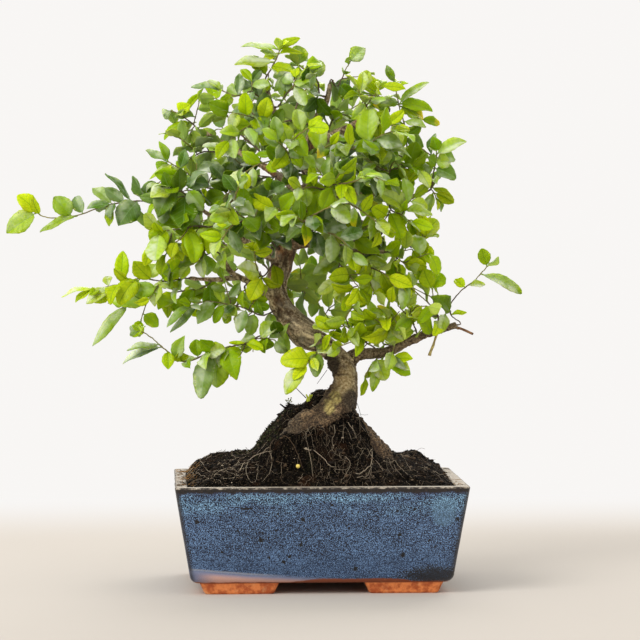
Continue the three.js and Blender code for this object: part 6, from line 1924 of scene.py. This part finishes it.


# A leaf: its colour with painted shade, veins, a paler underside, a withered tip on a few, a painted sheen,
# and light that comes through.
def leaf_material():
    graph = Graph("leaf_blade")
    place = graph.node("ShaderNodeSeparateXYZ")
    graph.set(place.inputs[0], graph.attribute("leaf_place", "Vector"))
    offset = graph.math("ABSOLUTE", graph.times(place.outputs[0], 10))
    vein = graph.times(place.outputs[1], 10)
    share = place.outputs[2]
    under = graph.attribute("leaf_under")
    wave = graph.math("PINGPONG", vein, 0.5)
    side_vein = graph.minus(1, graph.step(wave, 0.03, 0.17))
    midrib = graph.minus(1, graph.step(offset, 0.16, 0.5))
    midrib = graph.times(midrib, graph.minus(1, graph.step(share, 0.8, 1)))
    lines = graph.most(graph.times(side_vein, 0.45), midrib)
    colour = graph.attribute("leaf_colour", "Color")
    mottle = graph.noise(2.6, 3)
    yellowed = graph.step(mottle, 0.3, 0.8)
    colour = graph.blend(yellowed, colour, graph.blend(1, colour, (1.22, 1.12, 0.8), "MULTIPLY"))
    fleck = graph.times(graph.step(graph.noise(0.9, 3, 0.6), 0.46, 0.72), 0.6)
    colour = graph.blend(fleck, colour, graph.blend(1, colour, (0.74, 0.8, 0.7), "MULTIPLY"))
    colour = graph.blend(graph.times(lines, 0.66), colour, graph.attribute("leaf_vein", "Color"))
    # Painted sheen: a whitish tint, strongest on the half of the blade that folds towards the light.
    half = graph.plus(0.3, graph.times(graph.step(place.outputs[0], -0.12, 0.12), 0.7))
    sheen = graph.times(graph.attribute("leaf_sheen"), graph.times(half, graph.step(
        graph.plus(graph.noise(8, 2), graph.times(wave, 0.1)), 0.3, 0.7
    )))
    colour = graph.blend(graph.times(sheen, 0.85), colour, shade(212, 222, 194))
    pale = graph.blend(0.55, colour, shade(158, 172, 120))
    colour = graph.blend(graph.times(under, 0.75), colour, pale)
    withered = graph.step(graph.plus(share, graph.times(mottle, 0.5)), 0.8, 1.25)
    withered = graph.times(withered, graph.attribute("leaf_wither"))
    colour = graph.blend(withered, colour, shade(228, 204, 36))
    rough = graph.plus(graph.times(under, 0.25), graph.times(mottle, 0.16))
    rough = graph.plus(rough, 0.26)
    fine = graph.times(graph.noise(0.5, 2), 0.5)
    relief = graph.plus(graph.times(lines, -0.4), fine)
    graph.bump(relief, 0.35, 0.25)
    return graph.finish(
        colour, rough, Subsurface_Weight=0.35, Subsurface_Scale=0.0012, Subsurface_Radius=(0.8, 1.0, 0.15),
        Specular_IOR_Level=0.1,
    )


def twig_material():
    graph = Graph("twig_bark")
    age = graph.attribute("leaf_wither")
    grain = graph.noise(1.1, 4, 0.6)
    woody = graph.blend(graph.step(grain, 0.3, 0.7), shade(58, 42, 30), shade(112, 90, 66))
    green = graph.blend(graph.step(grain, 0.3, 0.7), shade(106, 98, 44), shade(146, 140, 62))
    colour = graph.blend(graph.step(age, 0.45, 1), woody, green)
    graph.bump(grain, 0.5, 0.3)
    return graph.finish(colour, graph.plus(0.5, graph.times(grain, 0.2)))


# Bark: grey-tan flakes between dark cracks, reddish fields, cream and mossy spots, darker near the soil.
def bark_material():
    graph = Graph("bark")
    crack, flake = graph.attribute("bark_crack"), graph.attribute("bark_flake")
    height = graph.node("ShaderNodeSeparateXYZ")
    graph.set(height.inputs[0], graph.place())
    fine = graph.noise(1.6, 5, 0.65)
    wide = graph.noise(14, 3, 0.5)
    tone = graph.plus(graph.times(flake, 0.3), fine)
    colour = graph.blend(graph.step(tone, 0.34, 0.7), shade(108, 88, 62), shade(226, 204, 164))
    reddish = graph.blend(graph.step(tone, 0.3, 0.7), shade(108, 70, 44), shade(172, 126, 84))
    colour = graph.blend(graph.step(wide, 0.52, 0.66), colour, reddish)
    grey = graph.noise(9, 4, 0.6)
    grey = graph.times(graph.step(grey, 0.5, 0.7), 0.6)
    colour = graph.blend(grey, colour, shade(164, 156, 138))
    peppered = graph.plus(graph.times(graph.noise(1.1, 2), 0.6), graph.times(fine, 0.4))
    earth = graph.blend(graph.step(peppered, 0.34, 0.68), shade(66, 50, 36), shade(172, 144, 106))
    low = graph.plus(height.outputs[2], graph.times(wide, 12))
    colour = graph.blend(graph.step(low, 142, 126), colour, earth)
    soiled = graph.blend(graph.step(peppered, 0.4, 0.66), shade(24, 18, 13), shade(128, 104, 76))
    colour = graph.blend(graph.attribute("bark_soiled"), colour, soiled)
    cream = graph.blend(graph.step(fine, 0.35, 0.7), shade(142, 118, 76), shade(206, 188, 144))
    colour = graph.blend(graph.attribute("bark_pale"), colour, cream)
    mossy = graph.blend(graph.step(fine, 0.35, 0.7), shade(150, 128, 76), shade(208, 194, 122))
    colour = graph.blend(graph.attribute("bark_algae"), colour, mossy)
    dark = graph.blend(graph.step(peppered, 0.36, 0.68), shade(30, 25, 19), shade(118, 104, 82))
    colour = graph.blend(graph.attribute("bark_rough"), colour, dark)
    colour = graph.blend(graph.times(crack, 0.75), colour, shade(44, 32, 22))
    relief = graph.plus(graph.times(crack, -0.5), graph.noise(0.8, 4, 0.6))
    graph.bump(relief, 0.7, 0.6)
    return graph.finish(
        colour, graph.plus(0.76, graph.times(fine, 0.2)), Specular_IOR_Level=0.3
    )


# Peat: nearly black with tan specks, reddish where it is dry, green where moss grows.
def soil_material():
    graph = Graph("peat")
    grain = graph.noise(1.5, 5, 0.75)
    speck = graph.noise(0.95, 2, 0.6)
    wide = graph.noise(14, 3)
    colour = graph.blend(graph.step(grain, 0.42, 0.7), shade(1, 1, 1), shade(27, 20, 14))
    colour = graph.blend(graph.step(speck, 0.63, 0.7), colour, shade(112, 98, 76))
    dry = graph.times(graph.step(wide, 0.54, 0.7), 0.25)
    colour = graph.blend(dry, colour, shade(72, 46, 28))
    mossy = graph.blend(graph.step(grain, 0.4, 0.7), shade(6, 7, 4), shade(40, 42, 26))
    colour = graph.blend(graph.attribute("soil_moss"), colour, mossy)
    graph.bump(graph.plus(grain, graph.times(speck, 0.5)), 1, 1.2)
    return graph.finish(colour, 0.95, Specular_IOR_Level=0.05)


# Threads, crumbs and hairs: from near black over brown to pale straw by their own tone.
def thread_material():
    graph = Graph("fibre")
    tone = graph.attribute("thread_tone")
    colour = graph.blend(graph.step(tone, 0.05, 0.6), shade(14, 10, 8), shade(88, 70, 52))
    colour = graph.blend(graph.step(tone, 0.5, 1), colour, shade(190, 174, 150))
    grain = graph.noise(1, 3)
    colour = graph.blend(graph.times(grain, 0.45), colour, shade(38, 30, 22))
    colour = graph.blend(graph.step(tone, 1.1, 1.3), colour, shade(232, 208, 108))
    colour = graph.blend(graph.step(tone, 1.45, 1.55), colour, shade(150, 112, 66))
    graph.bump(grain, 0.5, 0.3)
    return graph.finish(colour, 0.85, Specular_IOR_Level=0.2)


# Moss and small weeds, from dark green to yellow-green by their own tone.
def moss_material():
    graph = Graph("moss")
    grain = graph.noise(0.8, 3)
    tone = graph.plus(graph.attribute("thread_tone"), graph.times(grain, 0.2))
    colour = graph.blend(graph.step(tone, 0.1, 0.7), shade(18, 20, 10), shade(66, 74, 32))
    colour = graph.blend(graph.step(tone, 0.7, 1.1), colour, shade(176, 186, 62))
    graph.bump(grain, 0.4, 0.3)
    return graph.finish(colour, 0.8, Specular_IOR_Level=0.2)


# Soft share of an ellipse on the pot's front: 1 in its middle and 0 outside, with a ragged edge.
def front_patch(graph, x, z, middle, reach, ragged):
    across = graph.math("DIVIDE", graph.minus(x, middle[0]), reach[0])
    upward = graph.math("DIVIDE", graph.minus(z, middle[1]), reach[1])
    square = graph.plus(graph.times(across, across), graph.times(upward, upward))
    return graph.step(graph.plus(square, ragged), 1.25, 0.55)


# The glaze: fine flecks of light blue on navy, painted turquoise highlights high up, dark under the lip and
# along the corners, a dark pool and a thin lilac band low on the front, bare clay at the foot with painted
# shadow at its top, pits, and a rim worn pale.
PIT_PLACES = (
    (197, 522, 1), (261, 541, 1.3), (301, 546, 0.9), (303, 520, 1.1), (284, 563, 0.8), (290, 558, 0.7),
    (269.5, 558.5, 0.7), (278, 514, 0.7), (400, 535, 1), (404, 556, 1.1), (356, 570, 1.1), (457.5, 519, 0.9),
    (415, 509, 0.8), (238, 531, 0.6), (332, 505, 0.6), (366, 526, 0.6), (430, 541, 0.6), (222, 553, 0.6),
)
PIT_SIZE = 1.7
SCRATCH_PLACE = (247, 508.6)
SCRATCH_REACH = (5, 0.7)

# The dark pool and the lighter field of painted highlight, as (middle, reach) across and up the front in
# millimetres.
POOL_PATCH = ((80, 12), (28, 8))
CYAN_HIGHLIGHT_PATCH = ((82, 57), (9, 11))

# The lilac band's upper edge falls to the right. Heights of the dark band under the lip, of the worn rim
# and of the bare foot, and the wall's lean and half sizes at the ground.
LILAC_HEIGHT = 11.2
LILAC_SLOPE = -0.07
BAND_SPAN = (73.3, 74.6)
WORN_SPAN = (73.2, 73.9)
BARE_SPAN = (9.2, 10.2)
WALL_SLOPE = 0.1657
WALL_START = (88, 62)


# Where the line of sight through a place of the square image meets the pot's front, as (x, z).
def on_front(place):
    sight = line_of_sight(place)
    point = CAMERA_PLACE + sight * (-RIM_DEPTH / 2 + 3 - CAMERA_PLACE[1]) / sight[1]
    return point[0], point[2]


def pot_material():
    graph = Graph("stoneware_glaze")
    parts = graph.node("ShaderNodeSeparateXYZ")
    graph.set(parts.inputs[0], graph.place())
    x = graph.minus(parts.outputs[0], FOOTPRINT_SHIFT[0])
    y = graph.minus(parts.outputs[1], FOOTPRINT_SHIFT[1])
    z = parts.outputs[2]
    fleck = graph.noise(0.54, 0)
    dust = graph.noise(2.2, 2, 0.5)
    wide = graph.noise(24, 3, stretch=(0.6, 0.6, 1.5))
    cloud = graph.noise(6, 3)
    # Painted highlight: lighter turquoise patches high on the front.
    high = graph.times(graph.step(z, 50, 66), graph.step(wide, 0.36, 0.56))
    level = graph.plus(fleck, graph.times(graph.minus(dust, 0.5), 0.08))
    level = graph.plus(level, graph.times(graph.minus(wide, 0.5), 0.18))
    level = graph.plus(level, graph.times(graph.minus(cloud, 0.5), 0.08))
    middle = graph.blend(high, shade(24, 44, 76), shade(26, 52, 84))
    colour = graph.blend(graph.step(level, 0.38, 0.5), shade(2, 4, 14), middle)
    bright = graph.blend(high, shade(106, 138, 178), shade(138, 182, 214))
    colour = graph.blend(graph.step(level, 0.53, 0.62), colour, bright)
    veil = graph.times(graph.step(z, 40, 14), 0.35)
    colour = graph.blend(veil, colour, shade(48, 70, 102))
    ragged = graph.times(graph.minus(cloud, 0.5), 1.6)
    blurred = graph.times(graph.minus(fleck, 0.5), 2.2)
    pool = front_patch(graph, x, z, *POOL_PATCH, graph.plus(ragged, blurred))
    colour = graph.blend(graph.times(pool, 0.9), colour, shade(14, 11, 13))
    fall = graph.plus(graph.times(x, LILAC_SLOPE), LILAC_HEIGHT)
    fall = graph.plus(fall, graph.times(graph.minus(wide, 0.5), 2))
    below = graph.minus(fall, z)
    lilac = graph.times(graph.step(below, -1.2, 2), graph.step(x, 44, 6))
    pink = graph.blend(graph.step(x, -90, -68), shade(96, 108, 138), shade(212, 166, 150))
    pink = graph.blend(graph.step(below, 4.4, 0.8), pink, shade(122, 130, 158))
    colour = graph.blend(graph.times(lilac, 0.88), colour, pink)
    streak = graph.times(graph.step(graph.math("ABSOLUTE", below), 1, 0.2), graph.step(x, -20, -50))
    colour = graph.blend(graph.times(streak, 0.35), colour, shade(176, 176, 180))
    # Painted highlight: a lighter turquoise field high on the right of the front.
    cyan_highlight = front_patch(graph, x, z, *CYAN_HIGHLIGHT_PATCH, ragged)
    colour = graph.blend(graph.times(cyan_highlight, 0.25), colour, shade(118, 160, 188))
    slope = graph.times(z, WALL_SLOPE)
    edge_x = graph.plus(graph.minus(slope, graph.math("ABSOLUTE", x)), WALL_START[0])
    edge_y = graph.plus(graph.minus(slope, graph.math("ABSOLUTE", y)), WALL_START[1])
    edge = graph.most(edge_x, edge_y)
    corner = graph.minus(1, graph.step(graph.plus(edge, ragged), 0.8, 5))
    purple = graph.times(graph.step(graph.plus(z, graph.times(cloud, 4)), 69, 74), 0.5)
    colour = graph.blend(purple, colour, shade(44, 34, 66))
    edged = graph.plus(graph.times(cloud, 5), graph.times(fleck, 2))
    band = graph.step(graph.plus(z, edged), *BAND_SPAN)
    dark = graph.most(graph.times(corner, 0.92), band)
    brown = graph.blend(graph.step(fleck, 0.5, 0.64), shade(5, 4, 4), shade(44, 32, 28))
    colour = graph.blend(dark, colour, brown)
    pits = front_patch(graph, x, z, on_front(SCRATCH_PLACE), SCRATCH_REACH, ragged)
    for across, upward, radius in PIT_PLACES:
        pit = front_patch(graph, x, z, on_front((across, upward)), (PIT_SIZE * radius,) * 2, blurred)
        pits = graph.most(pits, pit)
    colour = graph.blend(pits, colour, shade(3, 3, 7))
    line = graph.times(graph.step(x, -24, 0), 2.4)
    line = graph.minus(line, graph.times(graph.step(x, 48, 66), 2.4))
    foot = graph.minus(graph.plus(z, graph.times(graph.noise(7, 3), 2.4)), line)
    bare = graph.minus(1, graph.step(foot, *BARE_SPAN))
    clay = graph.step(graph.noise(5, 4, 0.6), 0.36, 0.64)
    clay = graph.blend(clay, shade(164, 74, 26), shade(222, 130, 68))
    # Painted shadow: the bare clay above the feet, on the body's rounded base, is darker.
    clay = graph.blend(graph.step(z, 7.2, 8), clay, shade(132, 66, 36))
    stained = graph.step(graph.noise(9, 3), 0.55, 0.7)
    clay = graph.blend(graph.times(stained, 0.45), clay, shade(214, 160, 108))
    colour = graph.blend(bare, colour, clay)
    worn = graph.step(graph.plus(z, graph.times(graph.noise(3, 4), 1.2)), *WORN_SPAN)
    stain = graph.step(graph.noise(2.6, 4, 0.65, stretch=(0.6, 1, 1)), 0.45, 0.62)
    inward = graph.least(
        graph.minus(RIM_WIDTH / 2, graph.math("ABSOLUTE", x)),
        graph.minus(RIM_DEPTH / 2, graph.math("ABSOLUTE", y)),
    )
    stain = graph.most(stain, graph.step(graph.plus(inward, graph.times(cloud, 2)), 1.6, 2.6))
    pale = graph.step(graph.noise(1.4, 4, 0.6), 0.3, 0.7)
    pale = graph.blend(pale, shade(132, 120, 104), shade(184, 174, 158))
    pale = graph.blend(stain, shade(40, 32, 28), pale)
    colour = graph.blend(worn, colour, pale)
    relief = graph.plus(graph.times(fleck, 0.6), graph.times(cloud, 2))
    graph.bump(graph.minus(relief, graph.times(pits, 2)), 0.25, 0.3)
    rough = graph.plus(0.18, graph.times(fleck, 0.12))
    rough = graph.plus(rough, graph.times(graph.most(bare, worn), 0.5))
    return graph.finish(colour, rough)


def screen_material():
    graph = Graph("mesh_plastic")
    grain = graph.noise(0.8, 3)
    colour = graph.blend(grain, shade(28, 30, 30), shade(52, 54, 52))
    graph.bump(grain, 0.3, 0.2)
    return graph.finish(colour, graph.plus(0.45, graph.times(grain, 0.2)))


# Camera, light and floor.
FLOOR_SIZE = 30
BACKDROP_LIGHT = (1, 0.982, 0.965)
BACKDROP_STRENGTH = 0.94
FLOOR_EDGE = (0.25, 0.6)

# Area lamps, as (place, size, power, colour), and the place that they face, in metres.
LAMPS = {
    "key": ((-1.4, -1.3, 1.5), (1.2, 1.2), 38, (1, 0.985, 0.96)),
    "back": ((0.5, 1.6, 1.3), (1.8, 1.2), 26, (1, 0.99, 0.97)),
}
LIT_PLACE = (0, 0, 0.2)


def add_camera():
    camera = bpy.data.cameras.new("camera")
    camera.lens = CAMERA_LENS
    camera.sensor_width = CAMERA_SENSOR
    camera.clip_end = 100
    made = bpy.data.objects.new("camera", camera)
    made.location = (CAMERA_PLACE + FOOTPRINT_SHIFT) * METRES
    made.rotation_euler = (math.radians(90 + CAMERA_PITCH), 0, math.radians(-CAMERA_YAW))
    bpy.context.scene.collection.objects.link(made)
    bpy.context.scene.camera = made


def add_area(name, place, target, size, power, colour):
    lamp = bpy.data.lights.new(name, "AREA")
    lamp.shape = "RECTANGLE"
    lamp.size, lamp.size_y = size
    lamp.energy = power
    lamp.color = colour
    made = bpy.data.objects.new(name, lamp)
    made.location = place
    direction = np.array(target, float) - np.array(place, float)
    made.rotation_euler = (
        math.atan2(math.hypot(direction[0], direction[1]), -direction[2]), 0,
        math.atan2(direction[1], direction[0]) - math.pi / 2,
    )
    bpy.context.scene.collection.objects.link(made)


def add_light():
    world = bpy.data.worlds.new("studio")
    world.use_nodes = True
    background = world.node_tree.nodes["Background"]
    background.inputs["Color"].default_value = (*BACKDROP_LIGHT, 1)
    background.inputs["Strength"].default_value = BACKDROP_STRENGTH
    bpy.context.scene.world = world
    for name, (place, size, power, colour) in LAMPS.items():
        add_area(name, place, LIT_PLACE, size, power, colour)


# A pale floor that fades into the backdrop's light behind the pot, so that no horizon shows.
def add_floor():
    half = FLOOR_SIZE / 2
    mesh = bpy.data.meshes.new("floor")
    corners = [(-half, -half, 0), (half, -half, 0), (half, half, 0), (-half, half, 0)]
    mesh.from_pydata(corners, [], [(0, 1, 2, 3)])
    graph = Graph("floor_matte")
    parts = graph.node("ShaderNodeSeparateXYZ")
    graph.set(parts.inputs[0], graph.place((METRES,) * 3))
    grain = graph.noise(400, 2)
    near = graph.blend(grain, (0.5, 0.465, 0.42), (0.54, 0.5, 0.455))
    far = graph.step(parts.outputs[1], *FLOOR_EDGE)
    colour = graph.blend(far, near, (0, 0, 0))
    strength = graph.times(far, BACKDROP_STRENGTH)
    mesh.materials.append(graph.finish(
        colour, 0.8, Specular_IOR_Level=0.0, Emission_Color=BACKDROP_LIGHT, Emission_Strength=strength
    ))
    made = bpy.data.objects.new("floor", mesh)
    bpy.context.scene.collection.objects.link(made)


add_camera()
add_light()
add_floor()
bpy.context.scene.view_settings.view_transform = "Standard"

bark = bark_material()
thread = thread_material()
make_pot([pot_material()])
for side in ("left", "right"):
    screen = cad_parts[f"drainage_screen_{side}"]
    screen.data.materials.clear()
    screen.data.materials.append(screen_material())
make_soil([soil_material()])
make_fibres([thread])
make_crumbs([thread])
make_rootlets([thread])
make_moss([moss_material()])
make_trunk([bark])
make_branches([bark])
shoot_materials = [leaf_material(), twig_material()]
for grown in grow_sprays():
    make_shoot(grown, shoot_materials)
